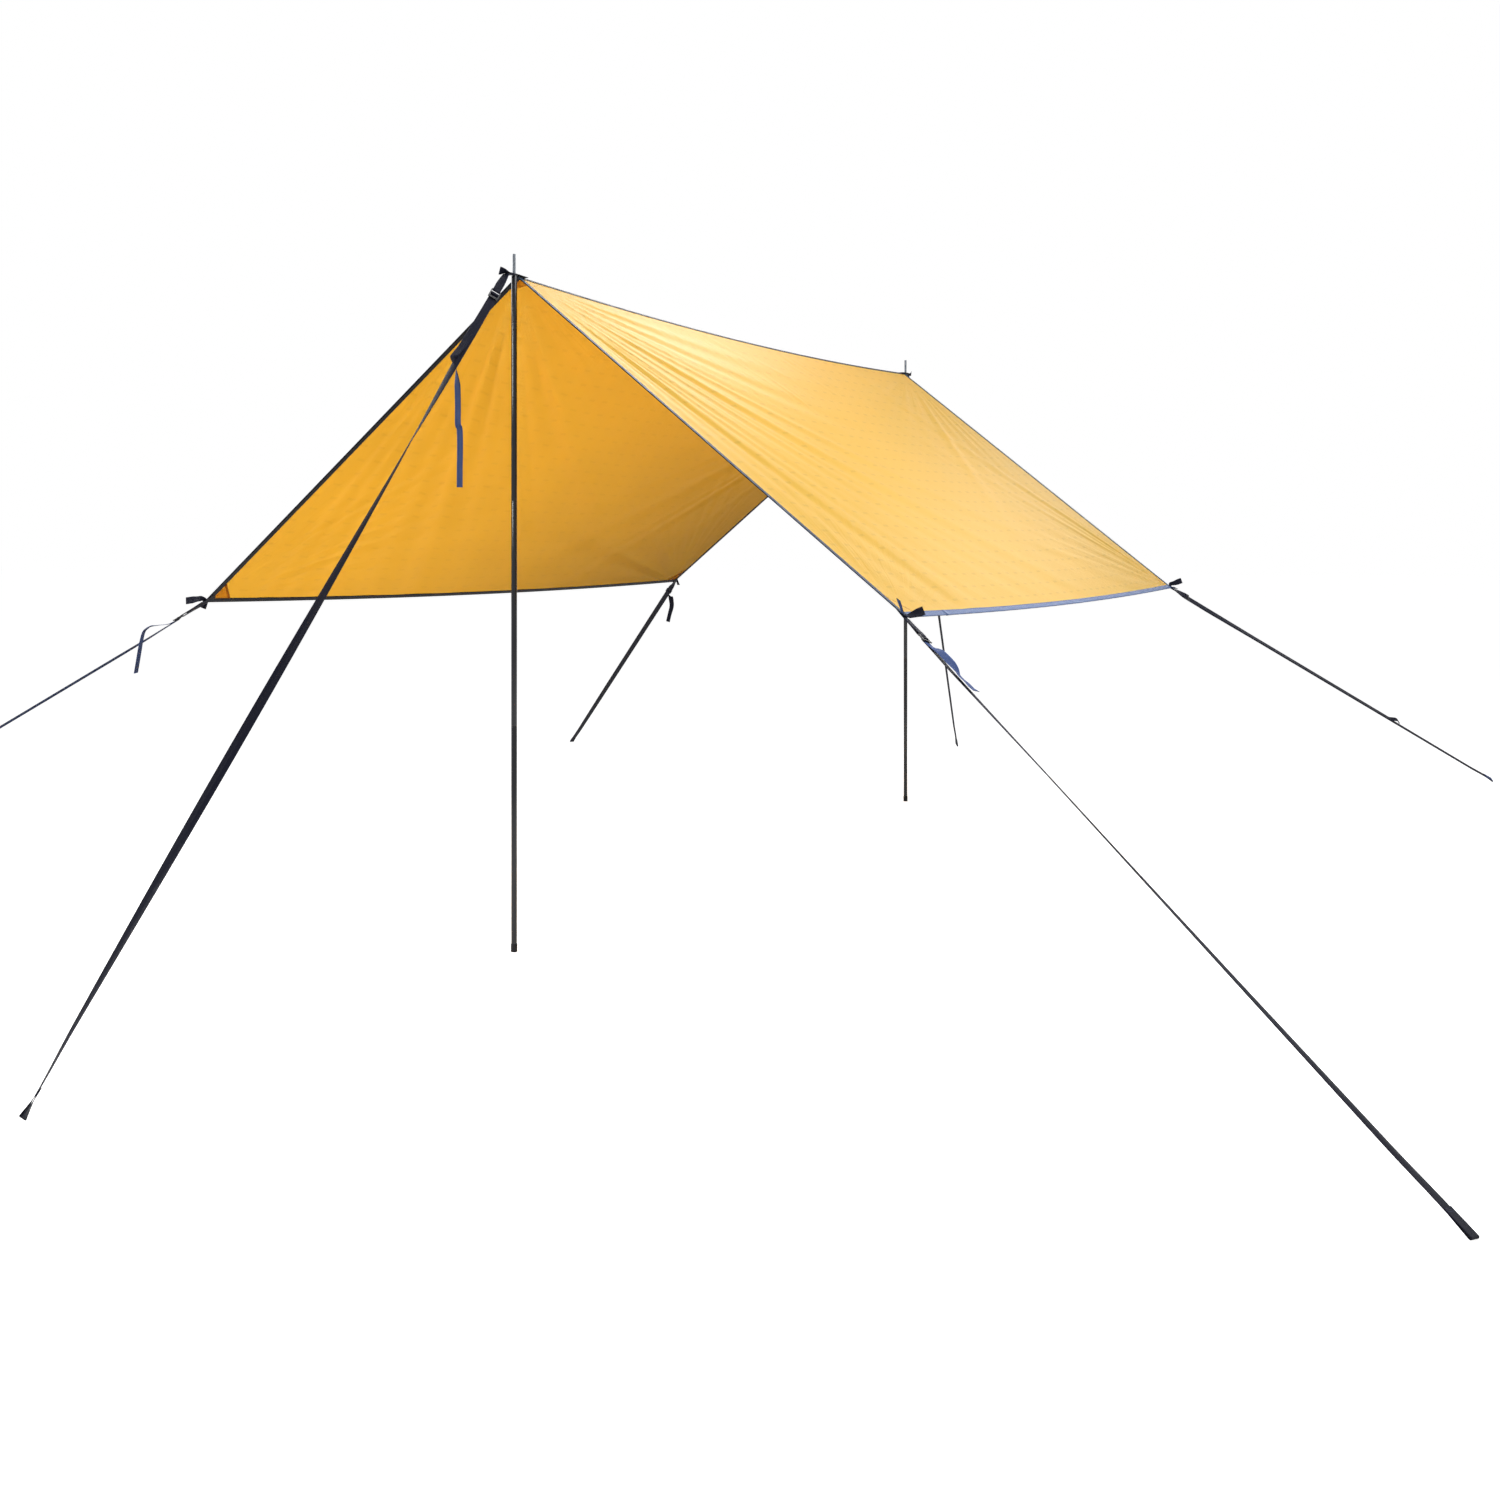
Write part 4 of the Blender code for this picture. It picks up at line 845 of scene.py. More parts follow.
def binding_line():
    """The places of the sheet's edge, all the way round: (side, along, down, inwards along,
    inwards down, outwards along, outwards down)."""
    tape = of("tape")
    half_length = ridge_half_length()
    _, slope = roof()
    inner_end, inner_eave = half_length - tape.width, slope - tape.width
    downs = spaced(GABLE_ROOM, inner_eave - CORNER_ROOM, round(slope / tape.step))
    alongs = spaced(-inner_end + CORNER_ROOM, inner_end - CORNER_ROOM, round(2 * half_length / tape.step))
    places = []
    for side in (1, -1):
        places.append((0, -side * half_length, 0, -side * inner_end, 0, -side, 0))
        for end, gable in ((-side, downs), (side, downs[::-1])):
            rows = [(side, end * half_length, d, end * inner_end, d, end, 0) for d in gable]
            corner = (side, end * half_length, slope, end * inner_end, inner_eave, end, 1)
            if end == side:
                places += [(side, end * a, slope, end * a, inner_eave, 0, 1) for a in alongs]
                places += [corner, *rows]
            else:
                places += [*rows, corner]
    return places


def over_edge(place, inwards, height):
    """A point beside the sheet's edge: a share of the binding's width inwards, or metres outwards
    where that is negative, and a height above the cloth."""
    side, along, down, inner_along, inner_down, out_along, out_down = place
    if inwards >= 0:
        at_along = along + (inner_along - along) * inwards
        at_down = down + (inner_down - down) * inwards
    else:
        at_along = along - out_along * inwards
        at_down = down - out_down * inwards
    if side == 0:
        return ridge_point(at_along, height)
    return sheet_point(side, at_along, at_down, height)


# The binding's section: how far in from the edge, and how far above the middle of the cloth
BINDING_SECTION = [(1.0, 0.00070), (0.8, 0.00105), (0.45, 0.00140), (0.12, TAPE_OFFSET), (-0.0004, 0.00120),
                   (-0.0009, 0.00060), (-0.0011, 0.0)]


def on_eave(place):
    """Whether a place of the sheet's edge lies on an eave, between its corners."""
    side, _, _, _, _, out_along, _ = place
    return side != 0 and out_along == 0


def two_faced(mesh, line):
    """Gives a length of binding its inner face in painted shade, its outer face on the eaves in painted
    light, and its other outer faces in the colour between them.
    """
    for look in ("binding", "inner_binding_painted_shade", "eave_binding_painted_light"):
        mesh.materials.append(finish(look))
    outer = len(BINDING_SECTION) - 1
    faces = []
    for place in line:
        # Outer faces on the eaves take the painted light, inner faces the painted shade
        faces += [2 if on_eave(place) else 0] * outer + [1] * outer
    mesh.polygons.foreach_set("material_index", faces[:len(mesh.polygons)])
    return mesh


# The distance between the points of a tape's section
SECTION_STEP = 0.0016
RIDGE_SECTION_STEP = 0.0025

# Where the tape's end laps over its start on the right eave, how far it stands off there, and
# how much rounder it goes about the edge
LAP_ALONG = (-1.335, -1.29)
LAP_RISE = 0.0006
LAP_WRAP = 1.4


def make_binding():
    """One tape folded over the whole edge of the sheet, and a short end lapped over its start."""
    tape = of("tape")
    line = binding_line()
    middle = len(BINDING_SECTION) - 1
    section = BINDING_SECTION + [(inwards, -height) for inwards, height in reversed(BINDING_SECTION[:-1])]
    rows = [[over_edge(place, inwards, height) for inwards, height in section] for place in line]
    reach, places = 0.0, []
    for i, row in enumerate(rows):
        reach += (row[middle] - rows[i - 1][middle]).length if i else 0.0
        places.append([(reach, SECTION_STEP * j) for j in range(len(section))])
    mesh = two_faced(grid_mesh("edge_binding", rows, "tape", places, closed=True), line)
    binding = add_piece("binding", mesh, "binding", "tarp", ("edge_binding",))
    thicken(binding, tape.thickness)
    first, last = LAP_ALONG
    eave = [place for place in line if on_eave(place) and place[0] == 1 and first < place[1] < last]
    rows = [[over_edge(place, inwards, height + math.copysign(LAP_RISE, height) if height else 0.0)
             if inwards >= 0 else over_edge(place, inwards - LAP_RISE, height * LAP_WRAP)
             for inwards, height in section] for place in eave]
    places = [[(tape.step * i, SECTION_STEP * j) for j in range(len(section))] for i in range(len(rows))]
    mesh = two_faced(grid_mesh("binding_lap", rows, "tape", places), eave)
    lap = add_piece("binding_lap", mesh, "binding", "tarp")
    thicken(lap, tape.thickness)


# The ridge tape's section: how far down the slope, and how far above the middle of the cloth
RIDGE_SECTION = [(0.010, 0.00070), (0.0075, 0.00110), (0.004, 0.00140), (0.0016, TAPE_OFFSET)]
# How much lower than that its crest lies
RIDGE_TAPE_CREST = 0.93


def make_ridge_tape():
    tape = of("tape")
    end = ridge_half_length() - tape.width - TOUCH
    rows, places = [], []
    for along in spaced(-end, end, round(2 * end / tape.step)):
        row = [sheet_point(-1, along, down, height) for down, height in RIDGE_SECTION]
        row.append(ridge_point(along, TAPE_OFFSET * RIDGE_TAPE_CREST))
        row += [sheet_point(1, along, down, height) for down, height in reversed(RIDGE_SECTION)]
        rows.append(row)
        places.append([(along, RIDGE_SECTION_STEP * j) for j in range(len(row))])
    mesh = grid_mesh("ridge_tape", rows[::-1], "tape", places[::-1])
    # The ridge tape takes the tape's painted shade colour all over
    ridge_tape = add_piece("ridge_seam_tape", mesh, "inner_binding_painted_shade", "tarp", ("ridge_tape",))
    thicken(ridge_tape, tape.thickness)


def corner_of(name):
    """Side and end of a corner from its name: left and front are -1."""
    return (-1 if "left" in name else 1), (-1 if "front" in name else 1)


# How far a patch runs on under the binding, where it lies under the middle of the cloth, and its
# cells each way
PATCH_LAP = 0.004
PATCH_LEVEL = -0.0007
PATCH_CELLS = 14
# The lines of a corner patch's hem, from its slanting side inwards, and where they lie
HEM_LINES = (0.0, 0.004, 0.008)
HEM_LEVEL = -0.0012
# How much shorter a ridge patch is at its foot, and its cells along the ridge
RIDGE_PATCH_TAPER = 0.88
RIDGE_PATCH_CELLS = 8


def patch_corner():
    """Where the patches' outlines start, along the ridge and down the slope."""
    inset = PATCH_LAP - of("tape").width
    return ridge_half_length() + inset, roof()[1] + inset


def slant(reach, sweeps):
    """Places on the line that cuts a corner's two edges this far from it."""
    end, eave = patch_corner()
    return [(end - reach * sweep, eave - reach * (1 - sweep)) for sweep in sweeps]


def make_patches():
    """Doubled cloth on the inside of each corner and of each end of the ridge, with its hem."""
    cloth = of("cloth")
    leg, drop = cloth.patch_leg, cloth.ridge_patch_drop
    for name in TABS:
        side, end = corner_of(name)
        # A corner patch starts as a point, and its hem folds back along its slanting side
        doubled = [leg * share for share in spaced(0, 1, PATCH_CELLS)]
        hem = [leg - distance * math.sqrt(2) for distance in HEM_LINES]
        for label, piece, reaches, level, nodes in (
                ("patch_", "corner_patch_", doubled, PATCH_LEVEL, ["patch_" + name]),
                ("hem_", "patch_hem_", hem, HEM_LEVEL, [])):
            lines = [slant(reach, spaced(0, 1, PATCH_CELLS)) for reach in reaches]
            rows = [[sheet_point(side, end * a, d, level) for a, d in line] for line in lines]
            places = [[(end * a, side * d) for a, d in line] for line in lines]
            mesh = grid_mesh(label + name, rows, "cloth", places)
            patch = add_piece(piece + name, mesh, "patch", "tarp", nodes)
            thicken(patch, cloth.patch_thickness)
    start, _ = patch_corner()
    for name, end in (("front_ridge", -1), ("rear_ridge", 1)):
        rows, places = [], []
        for sweep in spaced(-1.0, 1.0, 2 * PATCH_CELLS):
            reach = leg * (1 - RIDGE_PATCH_TAPER * abs(sweep))
            alongs = spaced(start, start - reach, RIDGE_PATCH_CELLS)
            if sweep == 0:
                rows.append([ridge_point(end * a, PATCH_LEVEL) for a in alongs])
            else:
                rows.append([sheet_point(math.copysign(1, sweep), end * a, abs(sweep) * drop, PATCH_LEVEL)
                             for a in alongs])
            places.append([(end * a, sweep * drop) for a in alongs])
        mesh = grid_mesh("patch_" + name, rows, "cloth", places)
        patch = add_piece("ridge_patch_" + name, mesh, "patch", "tarp", ["patch_" + name])
        thicken(patch, cloth.patch_thickness)


def smoothed(points, steps):
    """A smooth curve through the points, with this many steps between each two."""
    ends = [points[0] * 2 - points[1], *points, points[-1] * 2 - points[-2]]
    curve = []
    for before, start, stop, after in zip(ends, ends[1:], ends[2:], ends[3:]):
        for step in range(steps):
            t = step / steps
            curve.append(0.5 * (2 * start + (stop - before) * t
                                + (2 * before - 5 * start + 4 * stop - after) * t ** 2
                                + (3 * start - before - 3 * stop + after) * t ** 3))
    curve.append(points[-1])
    return curve


def read(table, share):
    """Reads a table of (share, value) pairs."""
    for (start, first), (stop, second) in zip(table, table[1:]):
        if share <= stop:
            return first + (second - first) * (share - start) / (stop - start)
    return table[-1][1]


# The upper half of the webbing's section, from edge to edge: a share of half its width, then
# shares of half its thickness further across and up
RIBBON_SECTION = ((-1, 0, -0.25), (-1, 0, 0.25), (-1, 0.5, 0.85), (-1, 1, 1), (-0.5, 0, 1), (0, 0, 1),
                  (0.5, 0, 1), (1, -1, 1), (1, -0.5, 0.85), (1, 0, 0.25))


def ribbon_mesh(name, centres, across, widths=None, cups=None, lit_side=0):
    """A length of webbing with rounded edges along its centres, its width along across, its edges turned down
    by a cup, and painted light on its upper side (1), its lower side (-1) or both (2)."""
    webbing = of("webbing")
    widths = widths or [webbing.width] * len(centres)
    cups = cups or [0.0] * len(centres)
    half = webbing.thickness / 2
    rows, places, reach = [], [], 0.0
    for i, centre in enumerate(centres):
        ahead = (centres[min(i + 1, len(centres) - 1)] - centres[max(i - 1, 0)]).normalized()
        side = (across[i] - ahead * across[i].dot(ahead)).normalized()
        up = ahead.cross(side)
        reach += (centre - centres[i - 1]).length if i else 0.0
        edge = widths[i] / 2
        upper = [(share * edge + further * half, height * half) for share, further, height in RIBBON_SECTION]
        section = upper + [(-x, -z) for x, z in upper[1:-1]] + [upper[0]]
        rows.append([centre + side * x + up * (z - cups[i] * (x / edge) ** 2) for x, z in section])
        places.append([(reach, x) for x, _ in section])
    mesh = grid_mesh(name, rows, "webbing", places)
    for look in ("webbing", "webbing_painted_light"):
        mesh.materials.append(finish(look))
    cells = len(rows[0]) - 1
    # The cells on the sides that take the painted light
    lit_cells = {0: (), 1: range(1, cells // 2), -1: range(cells // 2 + 1, cells), 2: range(cells)}[lit_side]
    mesh.polygons.foreach_set("material_index", [i % cells in lit_cells for i in range(len(mesh.polygons))])
    with shaping(mesh) as shape:
        bmesh.ops.remove_doubles(shape, verts=shape.verts, dist=SAME_PLACE)
        bmesh.ops.holes_fill(shape, edges=[edge for edge in shape.edges if edge.is_boundary], sides=0)
        bmesh.ops.recalc_face_normals(shape, faces=shape.faces)
    mesh.set_sharp_from_angle(angle=math.radians(RIBBON_CREASE))
    return mesh


def guy_frame(name):
    """The geometry of one guy: its anchor, the cloth's plane there, and the buckle's axes."""
    webbing = of("webbing")
    layer = webbing.thickness + TOUCH
    _, slope = roof()
    if "ridge" in name:
        end = -1 if "front" in name else 1
        normal = Vector((0, 0, 1))
        seat = Vector((0, end * POLE_END, TAB_HEIGHT))
        out, depth = RIDGE_LOOP_OUT, webbing.thickness / 2 + TOUCH + webbing.thickness + TOUCH / 2
    else:
        side, end = corner_of(name)
        half_length, leg = ridge_half_length(), of("cloth").patch_leg
        seat = sheet_point(side, end * half_length, slope)
        along_edge = sheet_point(side, end * (half_length - leg), slope) - seat
        up_edge = sheet_point(side, end * half_length, slope - leg) - seat
        normal = along_edge.cross(up_edge).normalized()
        if normal.z < 0:
            normal = -normal
        out, depth = CORNER_LOOP_OUT, PATCH_DEPTH + TOUCH + webbing.thickness / 2 - layer / 2
    ground = Vector((*GUYS[name]["ground"], 0))
    pull = (ground - seat).normalized()
    plane = (pull - normal * pull.dot(normal)).normalized()
    anchor = seat + plane * out - normal * depth
    pull = (ground - anchor).normalized()
    plane = (pull - normal * pull.dot(normal)).normalized()
    across = normal.cross(plane)
    turned = Matrix.Rotation(math.radians(GUYS[name]["roll"]), 3, pull)
    steps = LEAD_STEPS[plane.angle(pull) > STEEP_BEND]
    centre = anchor.copy()
    lead = [(centre.copy(), normal.copy())]
    for step in range(steps):
        centre += plane.slerp(pull, (step + 0.5) / steps) * LOOP_BEND / steps
        lead.append((centre.copy(), plane.slerp(pull, (step + 1) / steps).cross(across)))
    buckle = of("buckle")
    lip_end = buckle.bar / 2 + 2 * buckle.slot + buckle.middle_bar + buckle.lip
    tail_level = -(buckle.thickness / 2 + TOUCH + webbing.thickness / 2)
    result = {"seat": seat, "plane": plane, "normal": normal, "pull": pull, "flat_across": across,
              "across": turned @ across, "up": turned @ pull.cross(across), "lead": lead,
              "bar": centre + pull * LOOP_LENGTH, "roll": math.radians(GUYS[name]["roll"]),
              "turns": GUYS[name]["turns"], "loop_turn": PEG_LOOP_TURNS.get(name, 0),
              "strap_level": tail_level - layer, "tail_level": tail_level, "layer": layer,
              "strap_start": lip_end - JOINT_GAP, "tail_start": lip_end - JOINT_GAP + STAGGER}
    result["start"] = result["bar"] + result["up"] * result["strap_level"]
    result["reach"] = ground_reach(result)
    result["stations"] = spaced(result["strap_start"], result["reach"] - PEG_LOOP_LENGTH, STRAP_CELLS)
    return result


FRAMES = {}


def guy(name):
    if name not in FRAMES:
        FRAMES[name] = guy_frame(name)
    return FRAMES[name]


def turned_across(axes, degrees):
    """The direction of the webbing's width, turned on from the buckle's."""
    return Matrix.Rotation(math.radians(degrees), 3, axes["pull"]) @ axes["across"]


def strap_across(axes, station):
    share = (station - axes["strap_start"]) / (axes["stations"][-1] - axes["strap_start"])
    return turned_across(axes, read(axes["turns"], share))


def eased(share):
    return share * share * (3 - 2 * share)


def peg_loop(axes, reach):
    """Centres and across vectors of the loop at the strap's end, out to the peg and back."""
    half, length, layer = PEG_LOOP_HALF_HEIGHT, PEG_LOOP_LENGTH, axes["layer"]
    end = length - half
    outward = spaced(0, end, PEG_LOOP_CELLS)
    route = [(along, -half * eased(along / end)) for along in outward]
    for angle in spaced(0, math.pi, PEG_LOOP_TURN_STEPS)[1:-1]:
        route.append((end + math.sin(angle) * half, -math.cos(angle) * half))
    route += [(along, layer + (half - layer) * eased(along / end)) for along in reversed(outward)]
    start = axes["start"] + axes["pull"] * (reach - length)
    last_turn = axes["turns"][-1][1]
    centres, across = [], []
    for along, lift in route:
        side = turned_across(axes, last_turn + axes["loop_turn"] * (along / length) ** 2)
        centres.append(start + axes["pull"] * along + axes["pull"].cross(side) * lift)
        across.append(side)
    return centres, across


def ground_reach(axes):
    """How far from the buckle's rear bar the strap's loop just touches the ground."""
    webbing = of("webbing")
    reach = axes["start"].z / -axes["pull"].z
    edges = []
    for centre, side in zip(*peg_loop(axes, reach)):
        tilt = abs(side.z)
        half_height = tilt * webbing.width / 2 + math.sqrt(1 - tilt ** 2) * webbing.thickness / 2
        edges.append(centre.z - half_height)
    return reach + (min(edges) - GROUND_TOUCH) / -axes["pull"].z


def strap_route(axes):
    """Centres and across vectors of a strap, from the buckle to its peg loop on the ground."""
    fine = spaced(axes["strap_start"], axes["stations"][-1], 3 * STRAP_CELLS)[:-1]
    centres = [axes["start"] + axes["pull"] * station for station in fine]
    across = [strap_across(axes, station) for station in fine]
    loop_centres, loop_across = peg_loop(axes, axes["reach"])
    return centres + loop_centres, across + loop_across


def tail_route(axes, tail):
    """Centres and across vectors of a tail, along the strap and then down beside it."""
    follows = tail["follows"]
    places = [(axes["tail_start"], 0, 0)]
    for i in range(1, follows + 1):
        aside = tail["drift"] * MM * (i / follows) ** 2
        places.append((axes["stations"][i], aside, abs(aside) * TAIL_RIDE))
    base = places[-1][0]
    places += [(base + along * MM, aside * MM, lift * MM) for along, aside, lift in tail["leaving"]]
    turning = [0] * (follows + 1) + list(tail.get("turning", [0] * len(tail["leaving"])))
    points, sides = [], []
    for (along, aside, lift), turn in zip(places, turning):
        side = strap_across(axes, along)
        up = axes["pull"].cross(side)
        points.append(axes["start"] + axes["pull"] * along + up * (axes["layer"] + lift)
                      + side * aside)
        sides.append(Matrix.Rotation(math.radians(turn), 3, axes["pull"]) @ side)
    last, last_side = points[-1], sides[-1]
    bearing = math.radians(tail["bearing"])
    for i, step in enumerate(tail["falling"]):
        points.append(last + Vector(step) * MM)
        hanging = Vector((math.cos(bearing), math.sin(bearing), 0))
        sides.append(last_side.slerp(hanging, min(1.0, (i + 1) / TAIL_SWING_STEPS)))
    loose = smoothed(points[follows:], TAIL_STEPS)
    loose_sides = []
    for first, second in zip(sides[follows:], sides[follows + 1:]):
        loose_sides += [first.lerp(second, step / TAIL_STEPS).normalized() for step in range(TAIL_STEPS)]
    return points[:follows] + loose, [*sides[:follows], *loose_sides, sides[-1]]


def strap_cup(axes, centre):
    """How far the strap's edges curl at one place, nothing at the buckle and at the peg loop."""
    along = (centre - axes["start"]).dot(axes["pull"])
    room = min(along - axes["strap_start"], axes["stations"][-1] - along) / CUP_START
    return STRAP_CUP * eased(min(1.0, max(0.0, room)))


def make_guys():
    """The six guys: a strap from each buckle to its peg loop, and the free tail beside it."""
    webbing = of("webbing")
    for name in GUYS:
        axes = guy(name)
        strap_length, tail_length = CORD_LENGTHS[name]
        for kind, (centres, across), length, far_end, lay in (
                ("strap", strap_route(axes), strap_length, "knot", "taut"),
                ("tail", tail_route(axes, TAILS[name]), tail_length, "bare", "hanging")):
            cups = [strap_cup(axes, centre) if kind == "strap" else 0.0 for centre in centres]
            # Which side of this guy's webbing is in painted light
            lit_side = PAINTED_LIGHT_SIDES[name][kind == "tail"]
            label = f"guy_{kind}_{name}"
            mesh = ribbon_mesh(label, centres, across, cups=cups, lit_side=lit_side)
            piece = add_piece(label, mesh, "webbing", replaces=(f"{kind}_{name}",))
            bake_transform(piece)


def make_tabs():
    """The webbing sewn over each corner and each end of the ridge, with its free ends."""
    webbing = of("webbing")
    for name in TABS:
        axes = guy(name)
        seat = (axes["seat"] + axes["normal"] * (TAPE_TOP + TOUCH + webbing.thickness / 2)
                - axes["plane"] * TAB_WAIST / 2)
        directions = (axes["plane"], axes["flat_across"], axes["normal"])
        first, second = [[seat + sum((axis * step * MM for axis, step in zip(directions, steps)), Vector())
                          for steps in end] for end in TABS[name]]
        half = axes["flat_across"] * TAB_WAIST / 2
        knee = axes["normal"] * TAB_KNEE
        across_seat = [seat + 2 * half + knee, seat + half, seat - half, seat - 2 * half + knee]
        centres = smoothed([*first, *across_seat, *second], TAB_STEPS)
        widths = [TAB_WAIST + (webbing.width - TAB_WAIST) * min(1.0, (centre - seat).length / TAB_FLARE)
                  for centre in centres]
        # The tab's turn, and its side in painted light
        turn, lit_side = TAB_TURNS[name]
        out = (first[0] - seat).normalized()
        across = []
        for centre in centres:
            share = min(1.0, max(0.0, (centre - seat).dot(out) / TAB_FLARE))
            across.append(Matrix.Rotation(math.radians(turn) * share, 3, out) @ axes["plane"])
        mesh = ribbon_mesh("tab_" + name, centres, across, widths, lit_side=lit_side)
        add_piece("sewn_tab_" + name, mesh, "webbing", "tarp", ("tab_" + name,))
    for name, (out_step, side_step, up_step) in RIDGE_TABS.items():
        end = -1 if "front" in name else 1
        lift = Vector((0, 0, webbing.thickness / 2 + TOUCH))
        centres = [ridge_point(end * (POLE_END - inner), TAPE_TOP) + lift
                   for inner in (TAB_INNER_REACH, TAB_INNER_REACH / 2)]
        for out in (-EYELET_FLANGE - TOUCH, 0.0, EYELET_FLANGE + TOUCH, RIDGE_TAB_FLAT):
            centres.append(Vector((0, end * (POLE_END + out), TAB_HEIGHT)))
        across = [Vector((1, 0, 0))] * len(centres)
        flat_end = centres[-1]
        tip = Vector((side_step * MM, end * (POLE_END + out_step * MM), TAB_HEIGHT + up_step * MM))
        for share in spaced(0, 1, TAB_TURN_STEPS)[1:]:
            centres.append(flat_end.lerp(tip, share))
            across.append(Matrix.Rotation(-math.radians(TAB_TURN) * share, 3, "Y") @ Vector((1, 0, 0)))
        mesh = ribbon_mesh("tab_" + name, centres, across)
        add_piece("sewn_tab_" + name, mesh, "webbing", "tarp", ("tab_" + name,))


def make_loops():
    """The short double loop sewn under each corner and ridge tab, round the buckle's rear bar."""
    webbing = of("webbing")
    for name in GUYS:
        axes = guy(name)
        sewn = RIDGE_LOOP_SEWN_LENGTH if "ridge" in name else LOOP_SEWN_LENGTH
        start, normal = axes["lead"][0]
        half = axes["layer"] / 2
        wide = LOOP_BAR_RADIUS + webbing.thickness / 2
        last, _ = axes["lead"][-1]
        stations = []
        for share in spaced(0, 1, LOOP_CELLS)[1:]:
            turn = Matrix.Rotation(axes["roll"] * share, 3, axes["pull"])
            stations.append((last + axes["pull"] * (LOOP_LENGTH - LOOP_SPREAD) * share,
                             turn @ axes["pull"].cross(axes["flat_across"]),
                             half + (wide - half) * share ** 2, turn @ axes["flat_across"]))
        route = [(start - axes["plane"] * sewn - normal * half, axes["flat_across"])]
        route += [(centre - up * half, axes["flat_across"]) for centre, up in axes["lead"]]
        route += [(centre - up * spread, side) for centre, up, spread, side in stations]
        for angle in spaced(0, math.pi, LOOP_TURN_STEPS):
            offset = axes["pull"] * math.sin(angle) * wide - axes["up"] * math.cos(angle) * wide
            route.append((axes["bar"] + offset, axes["across"]))
        route += [(centre + up * spread, side) for centre, up, spread, side in reversed(stations)]
        route += [(centre + up * half, axes["flat_across"]) for centre, up in reversed(axes["lead"])]
        if "ridge" in name:
            route.append((start - axes["plane"] * sewn + normal * half, axes["flat_across"]))
        mesh = ribbon_mesh("loop_" + name, [point for point, _ in route], [side for _, side in route])
        add_piece("buckle_loop_" + name, mesh, "webbing", "tarp", ("loop_" + name,))


# The buckle's lip carries ribs for the thumb on this share of its length, and its end lifts
LIP_RIBS = 12
RIB_RANGE = (0.1, 0.95)
RIB_HEIGHT = 0.0004
LIP_LIFT = 0.0016
# How far the side rails stand proud of the bars
RAIL_RISE = 0.0007
# The middle of each bar is cut into this many faces over this width either way
BAR_CELLS = 6
BAR_HALF_WIDTH = 0.010
# The radius of its edges, where they turn by more than this many degrees
BUCKLE_ROUNDING = 0.0008
BUCKLE_ROUNDED_FROM = 50


def buckle_mesh():
    """The moulded ladder lock: two side rails, a rear bar, a middle bar and a ribbed lip that
    turns up. The origin is in the middle of the rear bar."""
    buckle = of("buckle")
    half_bar = buckle.bar / 2
    middle_start = half_bar + buckle.slot
    middle_end = middle_start + buckle.middle_bar
    lip_start = middle_end + buckle.slot
    ribs = spaced(lip_start, lip_start + buckle.lip, LIP_RIBS)
    columns = [-half_bar, half_bar, middle_start, middle_end, *ribs]
    rows = [-buckle.half_width, -buckle.window_half_width,
            *spaced(-BAR_HALF_WIDTH, BAR_HALF_WIDTH, BAR_CELLS), buckle.window_half_width, buckle.half_width]
    blank = add_object("ladder_lock", bpy.data.meshes.new("ladder_lock"))
    with shaping(blank.data) as shape:
        corners = [[shape.verts.new((x, y, 0)) for y in rows] for x in columns]
        for i, (line, following) in enumerate(zip(corners, corners[1:])):
            for j in range(len(rows) - 1):
                in_slot = i in (1, 3) and 0 < j < len(rows) - 2
                if not in_slot:
                    shape.faces.new((line[j], following[j], following[j + 1], line[j + 1]))
    thicken(blank, buckle.thickness)
    mesh = plain_mesh(blank)
    bpy.data.objects.remove(blank)
    for vertex in mesh.vertices:
        x, y, z = vertex.co
        top = z > 0
        lip_share = max(0.0, (x - lip_start) / buckle.lip)
        if top and RIB_RANGE[0] < lip_share < RIB_RANGE[1]:
            rib = min(range(len(ribs)), key=lambda i: abs(ribs[i] - x))
            z += RIB_HEIGHT if rib % 2 else 0.0
        z += LIP_LIFT * lip_share ** 2
        if top and abs(y) > buckle.window_half_width - 10 * SAME_PLACE:
            z += RAIL_RISE * max(0.0, 1 - lip_share)
        vertex.co.z = z
    with shaping(mesh) as shape:
        bmesh.ops.recalc_face_normals(shape, faces=shape.faces)
    return mesh


def plain_mesh(piece):
    """The piece's mesh with its modifiers applied."""
    bpy.context.view_layer.update()
    graph = bpy.context.evaluated_depsgraph_get()
    return bpy.data.meshes.new_from_object(piece.evaluated_get(graph))


# The webbing comes onto the middle bar from the strap and leaves it for the tail by these points:
# millimetres past the bar, and up from the strap's level or from the buckle's middle
STRAP_RAMP = ((3.9, 0.0), (2.0, 0.6))
TAIL_RAMP = ((1.7, -1.4), (3.0, -2.2))
TAIL_RAMP_END = 5.2
# In millimetres, how it rounds the bar: the flat part's inset, and the two heights of each corner
TURN_INSET = 0.2
TURN_SHOULDER = 0.6
TURN_DROP = 1.5
# How far out its corners come, as a share of its distance from the bar
TURN_CORNER = 0.73
TURN_STEPS = 2


